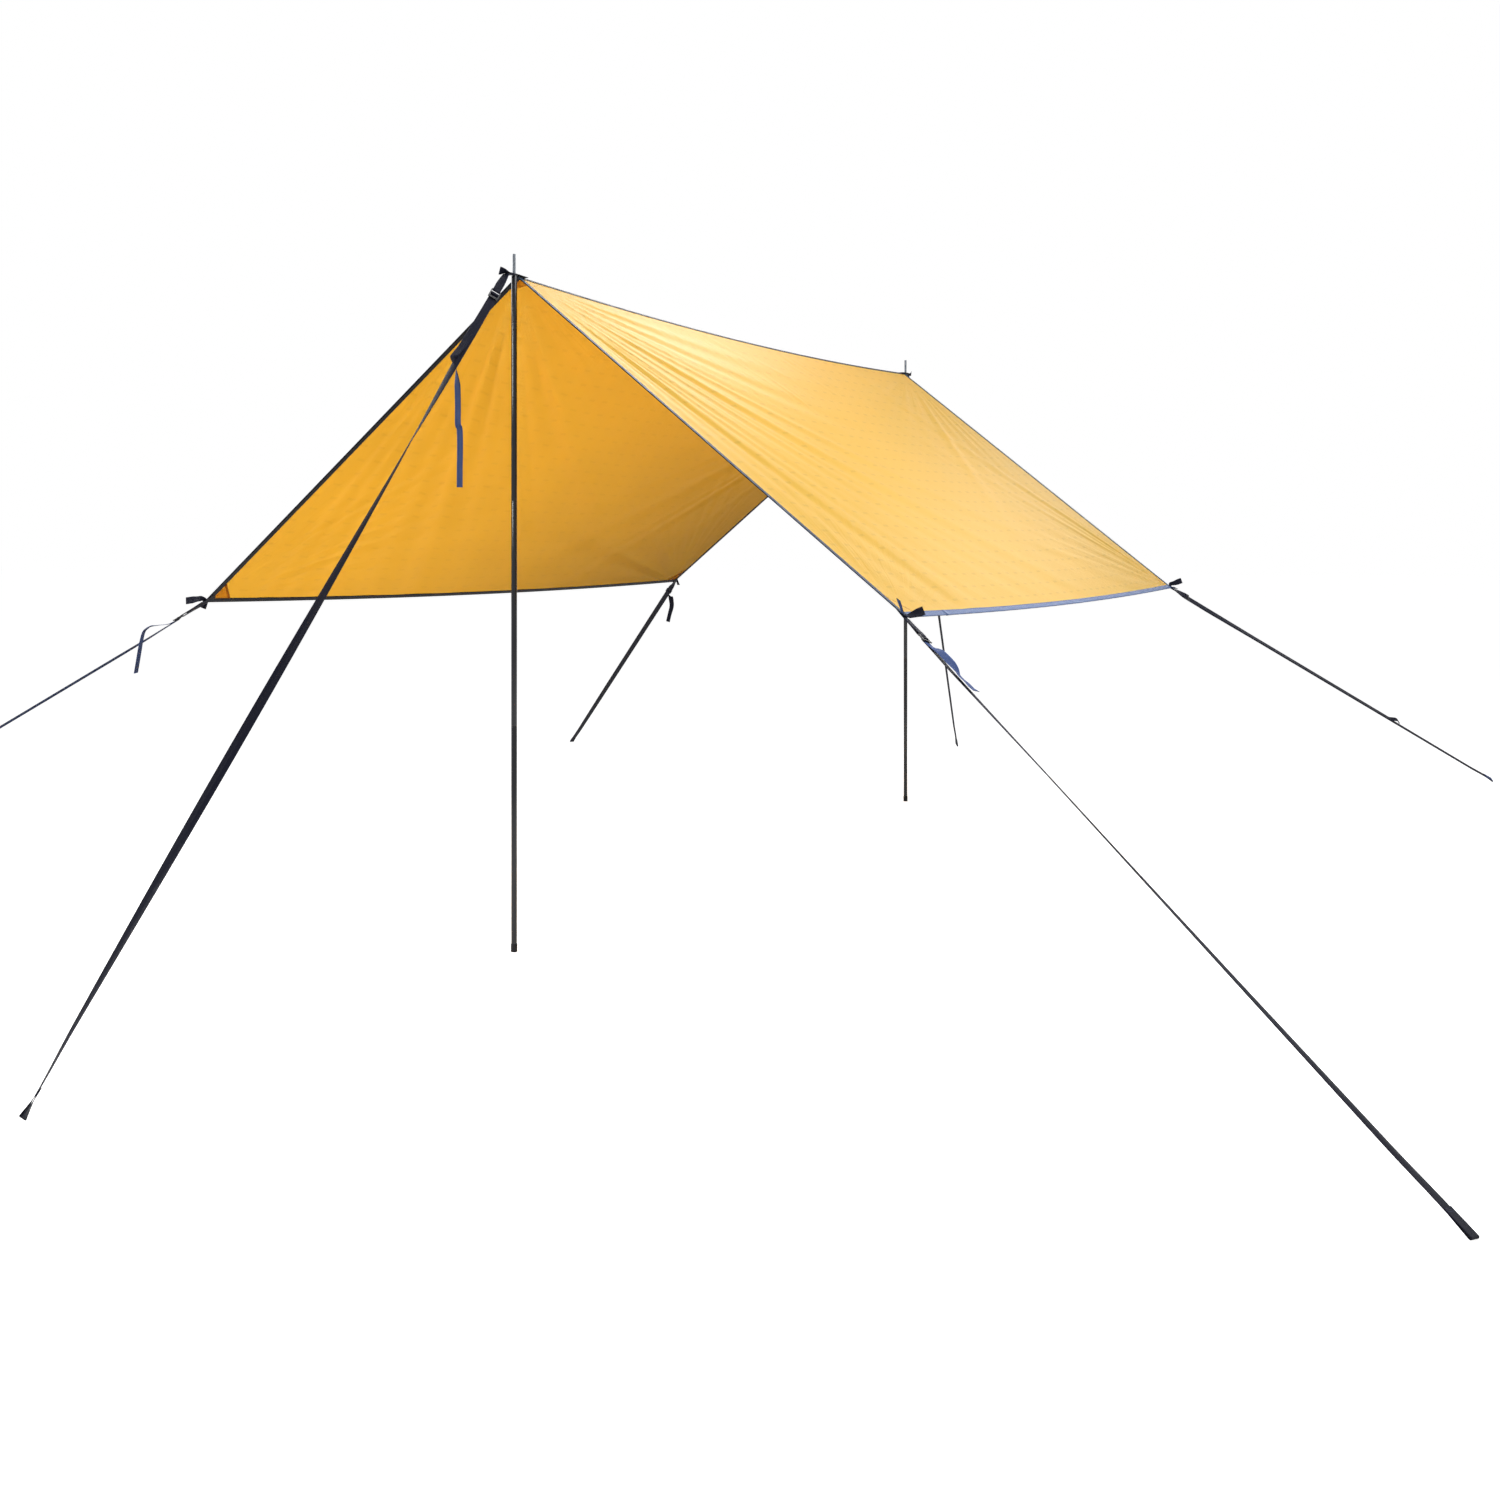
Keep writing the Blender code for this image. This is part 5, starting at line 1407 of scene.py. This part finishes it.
def turn_route(axes):
    """The webbing's turn round the middle bar, beside the buckle's own axes."""
    buckle = of("buckle")
    start = buckle.bar / 2 + buckle.slot
    stop = start + buckle.middle_bar
    side = TOUCH + of("webbing").thickness / 2
    corner = side * TURN_CORNER
    inset, shoulder, drop = TURN_INSET * MM, TURN_SHOULDER * MM, TURN_DROP * MM
    high, strap = -axes["tail_level"], axes["strap_level"]
    route = [(axes["strap_start"], strap), *[(stop + past * MM, strap + up * MM) for past, up in STRAP_RAMP],
             (stop - inset, -high), (start + inset, -high), (start - corner, shoulder - high),
             (start - side, drop - high), (start - side, high - drop), (start - corner, high - shoulder),
             (start + inset, high), (stop - inset, high), (stop + corner, high - shoulder),
             (stop + side, high - drop), (stop + side, -inset),
             *[(stop + past * MM, up * MM) for past, up in TAIL_RAMP],
             (stop + TAIL_RAMP_END * MM, -high), (axes["tail_start"], -high)]
    return [Vector((along, 0, up)) for along, up in route]


def make_buckles():
    """A ladder-lock buckle at each loop, and the turn of webbing that goes with it."""
    for name in GUYS:
        axes = guy(name)
        turned = Matrix((axes["pull"], axes["across"], axes["up"])).transposed().to_4x4()
        place = Matrix.Translation(axes["bar"]) @ turned
        body = name + "_buckle"
        mesh = buckle_mesh()
        mesh.transform(place)
        buckle = add_piece("ladder_lock_" + name, mesh, "buckle", body, ("buckle_" + name,))
        rounding = buckle.modifiers.new("rounding", "BEVEL")
        rounding.width = BUCKLE_ROUNDING
        rounding.segments = 3
        rounding.limit_method = "ANGLE"
        rounding.angle_limit = math.radians(BUCKLE_ROUNDED_FROM)
        mesh.shade_smooth()
        mesh.set_sharp_from_angle(angle=math.radians(BUCKLE_CREASE))
        centres = smoothed([place @ point for point in turn_route(axes)], TURN_STEPS)
        mesh = ribbon_mesh("turn_" + name, centres, [axes["across"]] * len(centres))
        add_piece("webbing_turn_" + name, mesh, "webbing", body, ("strap_turn_" + name,))


def turned_mesh(name, profile, closed=False):
    """A profile of (radius, height) points turned about the upright axis."""
    mesh = bpy.data.meshes.new(name)
    with shaping(mesh) as shape:
        points = [shape.verts.new((radius, 0, height)) for radius, height in profile]
        pairs = list(zip(points, points[1:])) + ([(points[-1], points[0])] if closed else [])
        edges = [shape.edges.new(pair) for pair in pairs]
        bmesh.ops.spin(shape, geom=points + edges, axis=(0, 0, 1), cent=(0, 0, 0), angle=math.tau,
                       steps=of("pole").steps, use_merge=True)
        bmesh.ops.remove_doubles(shape, verts=shape.verts, dist=SAME_PLACE)
        bmesh.ops.recalc_face_normals(shape, faces=shape.faces)
    mesh.shade_smooth()
    mesh.set_sharp_from_angle(angle=math.radians(TURNED_CREASE))
    return mesh


# The most of a side that one corner's arc takes up
ARC_SHARE = 0.45


def rounded(corners, radius, steps=3):
    """An outline with each corner but its ends rounded by arcs."""
    outline = [corners[0]]
    for before, corner, after in zip(corners, corners[1:], corners[2:]):
        before, corner, after = Vector(before), Vector(corner), Vector(after)
        back, ahead = (before - corner), (after - corner)
        cut = min(radius, back.length * ARC_SHARE, ahead.length * ARC_SHARE)
        first, last = corner + back.normalized() * cut, corner + ahead.normalized() * cut
        for step in range(steps + 1):
            t = step / steps
            outline.append(tuple(first * (1 - t) ** 2 + corner * 2 * t * (1 - t) + last * t ** 2))
    outline.append(corners[-1])
    return outline


# The plug in a pole's top: its rim, its depth in the tube, and the neck under the pin
PLUG_RIM = 0.0030
PLUG_DEPTH = 0.040
PLUG_SHOULDER = 0.0017
PLUG_NECK = (0.0062, -0.0009)
PLUG_ROUNDING = 0.0009
# A spigot's play in the next section's bore, and the roundness of the tubes' and feet's edges
SPIGOT_PLAY = 0.0003
EDGE_ROUNDING = 0.0004
# The foot: its sole, its chamfer and the groove round it, as (inwards, height)
FOOT_SOLE = 0.005
FOOT_CHAMFER = 0.0012
FOOT_GROOVE = ((0.0, 0.006), (0.0006, 0.0068), (0.0006, 0.0082), (0.0, 0.009))


def make_poles():
    """Each pole: rubber foot, three swaged sections of painted tube, and the plug with its pin."""
    pole = of("pole")
    section = POLE_HEIGHT / 3
    bore = pole.radius - pole.wall
    spigot = bore - SPIGOT_PLAY
    spigot_bore = spigot - pole.wall
    plug = rounded([(0, pole.pin_length), (pole.pin_radius, pole.pin_length), (pole.pin_radius, -TOUCH),
                    PLUG_NECK, (pole.radius, -PLUG_SHOULDER), (pole.radius, -PLUG_RIM), (spigot, -PLUG_RIM),
                    (spigot, -PLUG_RIM - PLUG_DEPTH), (0, -PLUG_RIM - PLUG_DEPTH)], PLUG_ROUNDING)
    socket, wide = pole.radius + TOUCH, pole.foot_radius
    foot = rounded([(0, 0), (wide - FOOT_CHAMFER, 0), (wide, FOOT_CHAMFER),
                    *[(wide - inwards, height) for inwards, height in FOOT_GROOVE],
                    (wide, pole.foot_height), (socket, pole.foot_height), (socket, FOOT_SOLE),
                    (0, FOOT_SOLE)], EDGE_ROUNDING)
    tops = (FOOT_SOLE + TOUCH, section, 2 * section, POLE_HEIGHT - PLUG_RIM - TOUCH)
    for name, y in (("front", -POLE_END), ("rear", POLE_END)):
        body = name + "_pole_"
        place_turned(name + "_pin_plug", plug, (y, POLE_HEIGHT), "zinc", body + "top", body + "pin_plug")
        for i, (part, moving) in enumerate((("lower", "base"), ("middle", "middle"), ("upper", "top"))):
            bottom = tops[i] if i == 0 else tops[i] + TOUCH / 2
            top = tops[i + 1] - TOUCH / 2 if i < 2 else tops[i + 1]
            outline = [(bore, top), (pole.radius, top), (pole.radius, bottom), (bore, bottom)]
            if i < 2:
                # The top narrows into the spigot that the next section slides over
                outline = [(spigot_bore, top + pole.spigot), (spigot, top + pole.spigot),
                           (spigot, top + 2 * EDGE_ROUNDING), (spigot + EDGE_ROUNDING, top), *outline[1:],
                           (bore, top - pole.wall), (spigot_bore, top + pole.wall)]
            outline = rounded([*outline, outline[0]], EDGE_ROUNDING)[:-1]
            place_turned(f"{name}_{part}_tube", outline, (y, 0), "pole_paint", body + moving,
                         f"{body}{part}_section", closed=True)
        place_turned(name + "_rubber_foot", foot, (y, 0), "foot_rubber", body + "base", body + "foot")


def place_turned(name, profile, place, look, body, node, closed=False):
    """A turned piece stood at (y, height), in the room of its node."""
    mesh = turned_mesh(name, profile, closed)
    mesh.transform(Matrix.Translation((0, place[0], place[1])))
    return add_piece(name, mesh, look, body, (node,))


# The eyelet's bore, barrel and rolled metal, and how its flange turns down at the rim
EYELET_BORE = 0.0054
EYELET_BARREL = 0.0068
EYELET_METAL = 0.0006
EYELET_ROLL = 0.0002
# How far its flanges lie off the webbing
EYELET_SEAT = 0.0002


def make_eyelets():
    """The rolled metal eyelet through each ridge tab."""
    inner = of("webbing").thickness / 2 + EYELET_SEAT
    outer = inner + EYELET_METAL
    throat = EYELET_BORE + EYELET_METAL
    crest = outer + EYELET_ROLL / 2
    rim = [(EYELET_FLANGE - EYELET_METAL, outer), (EYELET_FLANGE, inner + EYELET_METAL / 2),
           (EYELET_FLANGE - EYELET_ROLL, inner)]
    profile = [(EYELET_BORE, outer - EYELET_ROLL), (throat, crest), (EYELET_BARREL, crest), *rim,
               (EYELET_BARREL, inner), (EYELET_BARREL, -inner),
               *[(radius, -height) for radius, height in reversed(rim)], (throat, -outer),
               (EYELET_BORE, EYELET_ROLL - outer)]
    for name, y in (("front", -POLE_END), ("rear", POLE_END)):
        place_turned(name + "_pressed_eyelet", profile, (y, TAB_HEIGHT), "zinc", "tarp", name + "_eyelet",
                     closed=True)


def stitch_tree():
    """Geometry nodes: a row of stitches along each line of edges."""
    tree = bpy.data.node_groups.new("Stitch rows", "GeometryNodeTree")
    tree.interface.new_socket("Geometry", in_out="INPUT", socket_type="NodeSocketGeometry")
    for name in ("Pitch", "Stitch Length", "Thread Radius"):
        tree.interface.new_socket(name, in_out="INPUT", socket_type="NodeSocketFloat")
    tree.interface.new_socket("Thread", in_out="INPUT", socket_type="NodeSocketMaterial")
    tree.interface.new_socket("Geometry", in_out="OUTPUT", socket_type="NodeSocketGeometry")
    add = partial(add_node, tree)
    given = add("NodeGroupInput", {}).node.outputs
    line = add("GeometryNodeMeshToCurve", {0: given["Geometry"]})
    spots = add("GeometryNodeCurveToPoints", {"Curve": line, "Length": given["Pitch"]}, mode="LENGTH")
    half = add("ShaderNodeMath", {0: given["Stitch Length"], 1: 0.5}, operation="MULTIPLY")
    bead = add("GeometryNodeMeshIcoSphere", {"Radius": 1.0, "Subdivisions": 1})
    scale = add("ShaderNodeCombineXYZ", {0: given["Thread Radius"], 1: given["Thread Radius"], 2: half})
    stitch = add("GeometryNodeTransform", {"Geometry": bead, "Scale": scale})
    rows = add("GeometryNodeInstanceOnPoints",
               {"Points": spots, "Instance": stitch, "Rotation": spots.node.outputs["Rotation"]})
    real = add("GeometryNodeRealizeInstances", {0: rows})
    smooth = add("GeometryNodeSetShadeSmooth", {0: real})
    coloured = add("GeometryNodeSetMaterial", {"Geometry": smooth, "Material": given["Thread"]})
    add("NodeGroupOutput", {"Geometry": coloured})
    return tree


def sew(name, lines, look, pitch=None):
    """A piece of stitches along lines of points, on the tarp's own body."""
    stitching = of("stitching")
    tree = bpy.data.node_groups.get("Stitch rows") or stitch_tree()
    points, edges = [], []
    for line in lines:
        edges += [(len(points) + i, len(points) + i + 1) for i in range(len(line) - 1)]
        points += [tuple(point) for point in line]
    guide = bpy.data.meshes.new(name + "_guide")
    guide.from_pydata(points, edges, [])
    needle = add_object(name + "_guide", guide)
    rows = needle.modifiers.new("stitches", "NODES")
    rows.node_group = tree
    wanted = {"Pitch": pitch or stitching.pitch, "Stitch Length": stitching.length,
              "Thread Radius": stitching.thread_radius, "Thread": finish(look)}
    for item in tree.interface.items_tree:
        if item.in_out == "INPUT" and item.name in wanted:
            rows[item.identifier] = wanted[item.name]
    mesh = plain_mesh(needle)
    bpy.data.objects.remove(needle)
    return add_piece(name, mesh, look, "tarp")


# Seams on the tape: a share of the binding's width in from the edge, how far down from the ridge,
# and their heights over the middle of the cloth
BINDING_SEAM = 0.88
BINDING_SEAM_HEIGHT = 0.0013
RIDGE_SEAM_DOWN = 0.0078
RIDGE_SEAM_HEIGHT = 0.0014
RIDGE_SEAM_CELLS = 220
# Seams on the patches: how far in from the edge, their heights under and over the cloth, and the
# shares of the edge where they start and end, with the cells between
HEM_SEAMS = (0.003, 0.0075)
HEM_SEAM_HEIGHTS = (-0.0016, 0.0004)
HEM_SEAM_SPAN = (0.03, 0.97, 16)
RIDGE_PATCH_SEAM = 0.004
RIDGE_PATCH_SEAM_HEIGHTS = (-0.0011, 0.0004)
RIDGE_PATCH_SEAM_SPAN = (0.2, 0.97, 12)
# On the webbing: the crossed boxes' half sizes, where those on the ridge start and end inwards
# from the pole, and the rows across the peg loops, back from the loop's end
THREAD_LIFT = 0.0001
CORNER_BOX = (0.0055, 0.0045)
RIDGE_BOX = (0.056, 0.018)
RIDGE_BOX_HALF_WIDTH = 0.0095
PEG_LOOP_SEAMS = (0.003, 0.007, 0.011)
PEG_LOOP_SEAM_HALF_WIDTH = 0.010
WEBBING_PITCH = 0.003


def crossed_box(corners):
    """The lines of a box of stitches and of the cross in it."""
    return [[*corners, corners[0]], corners[::2], corners[1::2]]


def make_stitching():
    """Rows of stitches on the binding, the ridge tape, the patches and the sewn webbing."""
    cloth, webbing = of("cloth"), of("webbing")
    line = binding_line()
    line.append(line[0])
    for face, height in (("above", BINDING_SEAM_HEIGHT), ("below", -BINDING_SEAM_HEIGHT)):
        seam = [over_edge(place, BINDING_SEAM, height) for place in line]
        sew("binding_stitches_" + face, [seam], "thread")
    end = ridge_half_length() - of("tape").width
    alongs = spaced(-end, end, RIDGE_SEAM_CELLS)
    lines = [[sheet_point(side, along, RIDGE_SEAM_DOWN, RIDGE_SEAM_HEIGHT) for along in alongs]
             for side in (-1, 1)]
    sew("ridge_stitches", lines, "thread")
    lines = []
    for name in TABS:
        side, end = corner_of(name)
        for distance in HEM_SEAMS:
            seam = slant(cloth.patch_leg - distance * math.sqrt(2), spaced(*HEM_SEAM_SPAN))
            lines += [[sheet_point(side, end * along, down, height) for along, down in seam]
                      for height in HEM_SEAM_HEIGHTS]
    start, _ = patch_corner()
    seam = [(start - (cloth.patch_leg * (1 - RIDGE_PATCH_TAPER * share) - RIDGE_PATCH_SEAM),
             share * cloth.ridge_patch_drop) for share in spaced(*RIDGE_PATCH_SEAM_SPAN)]
    for end in (-1, 1):
        for side in (-1, 1):
            lines += [[sheet_point(side, end * along, down, height) for along, down in seam]
                      for height in RIDGE_PATCH_SEAM_HEIGHTS]
    sew("patch_stitches", lines, "cloth_thread")
    lines = []
    top = TAPE_TOP + TOUCH + webbing.thickness + THREAD_LIFT
    for name in TABS:
        axes = guy(name)
        seat = axes["seat"] + axes["normal"] * top - axes["plane"] * TAB_WAIST / 2
        wide, long = axes["flat_across"] * CORNER_BOX[0], axes["plane"] * CORNER_BOX[1]
        lines += crossed_box([seat - wide - long, seat + wide - long, seat + wide + long, seat - wide + long])
    lift = Vector((0, 0, webbing.thickness + TOUCH + THREAD_LIFT))
    wide = Vector((RIDGE_BOX_HALF_WIDTH, 0, 0))
    for end in (-1, 1):
        first, last = [ridge_point(end * (POLE_END - inner), TAPE_TOP) + lift for inner in RIDGE_BOX]
        lines += crossed_box([first - wide, first + wide, last + wide, last - wide])
    for name in GUYS:
        axes = guy(name)
        loop_centres, loop_across = peg_loop(axes, axes["reach"])
        side = loop_across[-1]
        lift = axes["pull"].cross(side) * (webbing.thickness / 2 + THREAD_LIFT)
        for back in PEG_LOOP_SEAMS:
            middle = loop_centres[-1] + axes["pull"] * back + lift
            lines.append([middle - side * PEG_LOOP_SEAM_HALF_WIDTH, middle + side * PEG_LOOP_SEAM_HALF_WIDTH])
    sew("webbing_stitches", lines, "thread", pitch=WEBBING_PITCH)


# How much of the floor's white takes shadow, and how white that part is
FLOOR_SHADOW = 0.8
FLOOR_WHITE = 0.95
FLOOR_DEPTH = 0.0005
# The even light at the horizon and overhead, as shares of its strength
SKY_SHARES = (0.35, 1.35)

# Each lamp's place, what it faces, its side in metres and its spread in degrees
LAMPS = {
    "left": ((-3.3, -1.9, 3.5), (-0.8, -1.1, 1.4), 1.8, 90),
    "right": ((3.3, -0.6, 4.6), (0.6, -0.2, 1.5), 3.5, 160),
    "rear": ((-1.1, 3.7, 4.7), (0.5, -1.4, 1.7), 1.6, 70),
    "low": ((0.85, 10.5, 5.2), (1.0, -0.8, 1.2), 2.4, 60),
    "front": ((-1.9, -6.6, 2.6), (0.0, -1.7, 1.2), 1.2, 120),
}


def seen_rays(add):
    """1 for what the camera sees, itself or in gloss, metal and glass, and 0 for the light on the
    object and for what shines through its cloth."""
    path = add("ShaderNodeLightPath", {}).node.outputs
    glass = add("ShaderNodeMath", {0: path["Is Transmission Ray"], 1: path["Is Diffuse Ray"]},
                operation="SUBTRACT", use_clamp=True)
    mirrored = add("ShaderNodeMath", {0: path["Is Glossy Ray"], 1: glass}, operation="MAXIMUM")
    return add("ShaderNodeMath", {0: path["Is Camera Ray"], 1: mirrored}, operation="MAXIMUM")


def floor_surface(add, sky, dull_colour):
    """A floor that looks white but gives back little light, as the ground outdoors would."""
    seen = seen_rays(add)
    pale = add("ShaderNodeBsdfDiffuse", {"Color": shade([FLOOR_WHITE] * 3)})
    dull = add("ShaderNodeBsdfDiffuse", {"Color": shade(dull_colour)})
    strength = (1 - FLOOR_SHADOW * FLOOR_WHITE * sky) / (1 - FLOOR_SHADOW)
    white = add("ShaderNodeEmission", {"Strength": strength})
    shown = add("ShaderNodeMixShader", {0: FLOOR_SHADOW, 1: white, 2: pale})
    return add("ShaderNodeMixShader", {0: seen, 1: dull, 2: shown})


def add_lamp(name, power):
    """A square soft lamp that the camera doesn't see."""
    place, target, side, spread = LAMPS[name]
    lamp = bpy.data.lights.new(name, "AREA")
    lamp.shape = "SQUARE"
    lamp.size = side
    lamp.spread = math.radians(spread)
    lamp.energy = power
    holder = add_object(name, lamp)
    holder.location = place
    holder.rotation_euler = (Vector(target) - Vector(place)).to_track_quat("-Z", "Y").to_euler()
    holder.visible_camera = False


def make_stage():
    """Camera, pale floor and soft light."""
    scene = bpy.context.scene
    stage = of("stage")
    scene.view_settings.view_transform = "Standard"
    lens = bpy.data.cameras.new("photograph")
    lens.sensor_width = SENSOR
    lens.lens = PHOTO_FOCAL / PHOTO_SIDE * SENSOR
    lens.shift_y = (PHOTO_HORIZON - PHOTO_SIDE / 2) / PHOTO_SIDE
    lens.clip_end = CAMERA_REACH
    camera = add_object("photograph", lens)
    camera.location = CAMERA_PLACE
    camera.rotation_euler = (math.radians(90), 0, math.radians(CAMERA_HEADING))
    scene.camera = camera

    mesh = bpy.data.meshes.new("studio_floor")
    with shaping(mesh) as shape:
        bmesh.ops.create_grid(shape, x_segments=1, y_segments=1, size=stage.floor_radius)
    mesh.materials.append(new_material("studio_floor", floor_surface, stage.sky, stage.floor_colour))
    ground = add_object("studio_floor", mesh)
    ground.location.z = -FLOOR_DEPTH

    world = bpy.data.worlds.new("studio")
    world.use_nodes = True
    world.node_tree.nodes.clear()
    add = partial(add_node, world.node_tree)
    # The even light is softer from low down, as it is under trees
    heading = add("ShaderNodeTexCoord", {}, "Generated")
    upwards = add("ShaderNodeSeparateXYZ", {0: heading}, 2)
    low, high = [share * stage.sky for share in SKY_SHARES]
    light = add("ShaderNodeMapRange", {0: upwards, 1: 0.0, 2: 1.0, 3: low, 4: high})
    strength = add("ShaderNodeMapRange", {0: seen_rays(add), 3: light, 4: 1.0})
    sky = add("ShaderNodeBackground", {"Color": shade((1.0, 1.0, 1.0)), "Strength": strength})
    add("ShaderNodeOutputWorld", {"Surface": sky})
    scene.world = world
    for name in LAMPS:
        add_lamp(name, getattr(stage, name))


class TARP_OT_stage(bpy.types.Operator):
    """Set up the camera, the floor and the light"""

    bl_idname = "tarp.stage"
    bl_label = "Stage"

    def execute(self, context):
        make_stage()
        return {"FINISHED"}


class TARP_OT_guys(bpy.types.Operator):
    """Add the six webbing guys and their tails"""

    bl_idname = "tarp.guys"
    bl_label = "Guys"

    def execute(self, context):
        make_guys()
        return {"FINISHED"}


class TARP_OT_canopy(bpy.types.Operator):
    """Add the sheet with its folds"""

    bl_idname = "tarp.canopy"
    bl_label = "Canopy"

    def execute(self, context):
        canopy = make_canopy()
        _, slope = roof()
        2 * ridge_half_length()
        return {"FINISHED"}


class TARP_OT_trim(bpy.types.Operator):
    """Add the binding, the ridge tape and the patches"""

    bl_idname = "tarp.trim"
    bl_label = "Trim"

    def execute(self, context):
        make_binding()
        make_ridge_tape()
        make_patches()
        return {"FINISHED"}


class TARP_OT_anchors(bpy.types.Operator):
    """Add the webbing tabs, the loops and the eyelets"""

    bl_idname = "tarp.anchors"
    bl_label = "Anchors"

    def execute(self, context):
        make_tabs()
        make_loops()
        make_eyelets()
        return {"FINISHED"}


class TARP_OT_buckles(bpy.types.Operator):
    """Add the ladder-lock buckles and the webbing's turns through them"""

    bl_idname = "tarp.buckles"
    bl_label = "Buckles"

    def execute(self, context):
        make_buckles()
        return {"FINISHED"}


class TARP_OT_poles(bpy.types.Operator):
    """Add the two poles"""

    bl_idname = "tarp.poles"
    bl_label = "Poles"

    def execute(self, context):
        make_poles()
        return {"FINISHED"}


class TARP_OT_stitching(bpy.types.Operator):
    """Sew the tape, the patches and the webbing"""

    bl_idname = "tarp.stitching"
    bl_label = "Stitching"

    def execute(self, context):
        make_stitching()
        return {"FINISHED"}


OPERATORS = (TARP_OT_stage, TARP_OT_guys, TARP_OT_canopy, TARP_OT_trim, TARP_OT_anchors, TARP_OT_buckles,
             TARP_OT_poles, TARP_OT_stitching)


class TARP_PT_panel(bpy.types.Panel):
    """Lists the tarp's operators and sizes"""

    bl_label = "Camping Tarp"
    bl_idname = "TARP_PT_panel"
    bl_space_type = "VIEW_3D"
    bl_region_type = "UI"
    bl_category = "Tarp"

    def draw(self, context):
        for step in OPERATORS:
            self.layout.operator(step.bl_idname)
        for name, group in GROUPS.items():
            box = self.layout.box()
            box.label(text=group.__doc__)
            for item in group.__annotations__:
                box.prop(getattr(context.scene, name), item)


def register():
    for group in (*GROUPS.values(), *OPERATORS, TARP_PT_panel):
        bpy.utils.register_class(group)
    for name, group in GROUPS.items():
        setattr(bpy.types.Scene, name, bpy.props.PointerProperty(type=group))


def unregister():
    for name in GROUPS:
        delattr(bpy.types.Scene, name)
    for group in reversed((*GROUPS.values(), *OPERATORS, TARP_PT_panel)):
        bpy.utils.unregister_class(group)


def main():
    register()
    bpy.ops.tarp.stage()
    bpy.ops.tarp.guys()
    bpy.ops.tarp.canopy()
    bpy.ops.tarp.trim()
    bpy.ops.tarp.anchors()
    bpy.ops.tarp.buckles()
    bpy.ops.tarp.poles()
    bpy.ops.tarp.stitching()


if __name__ == "__main__":
    main()
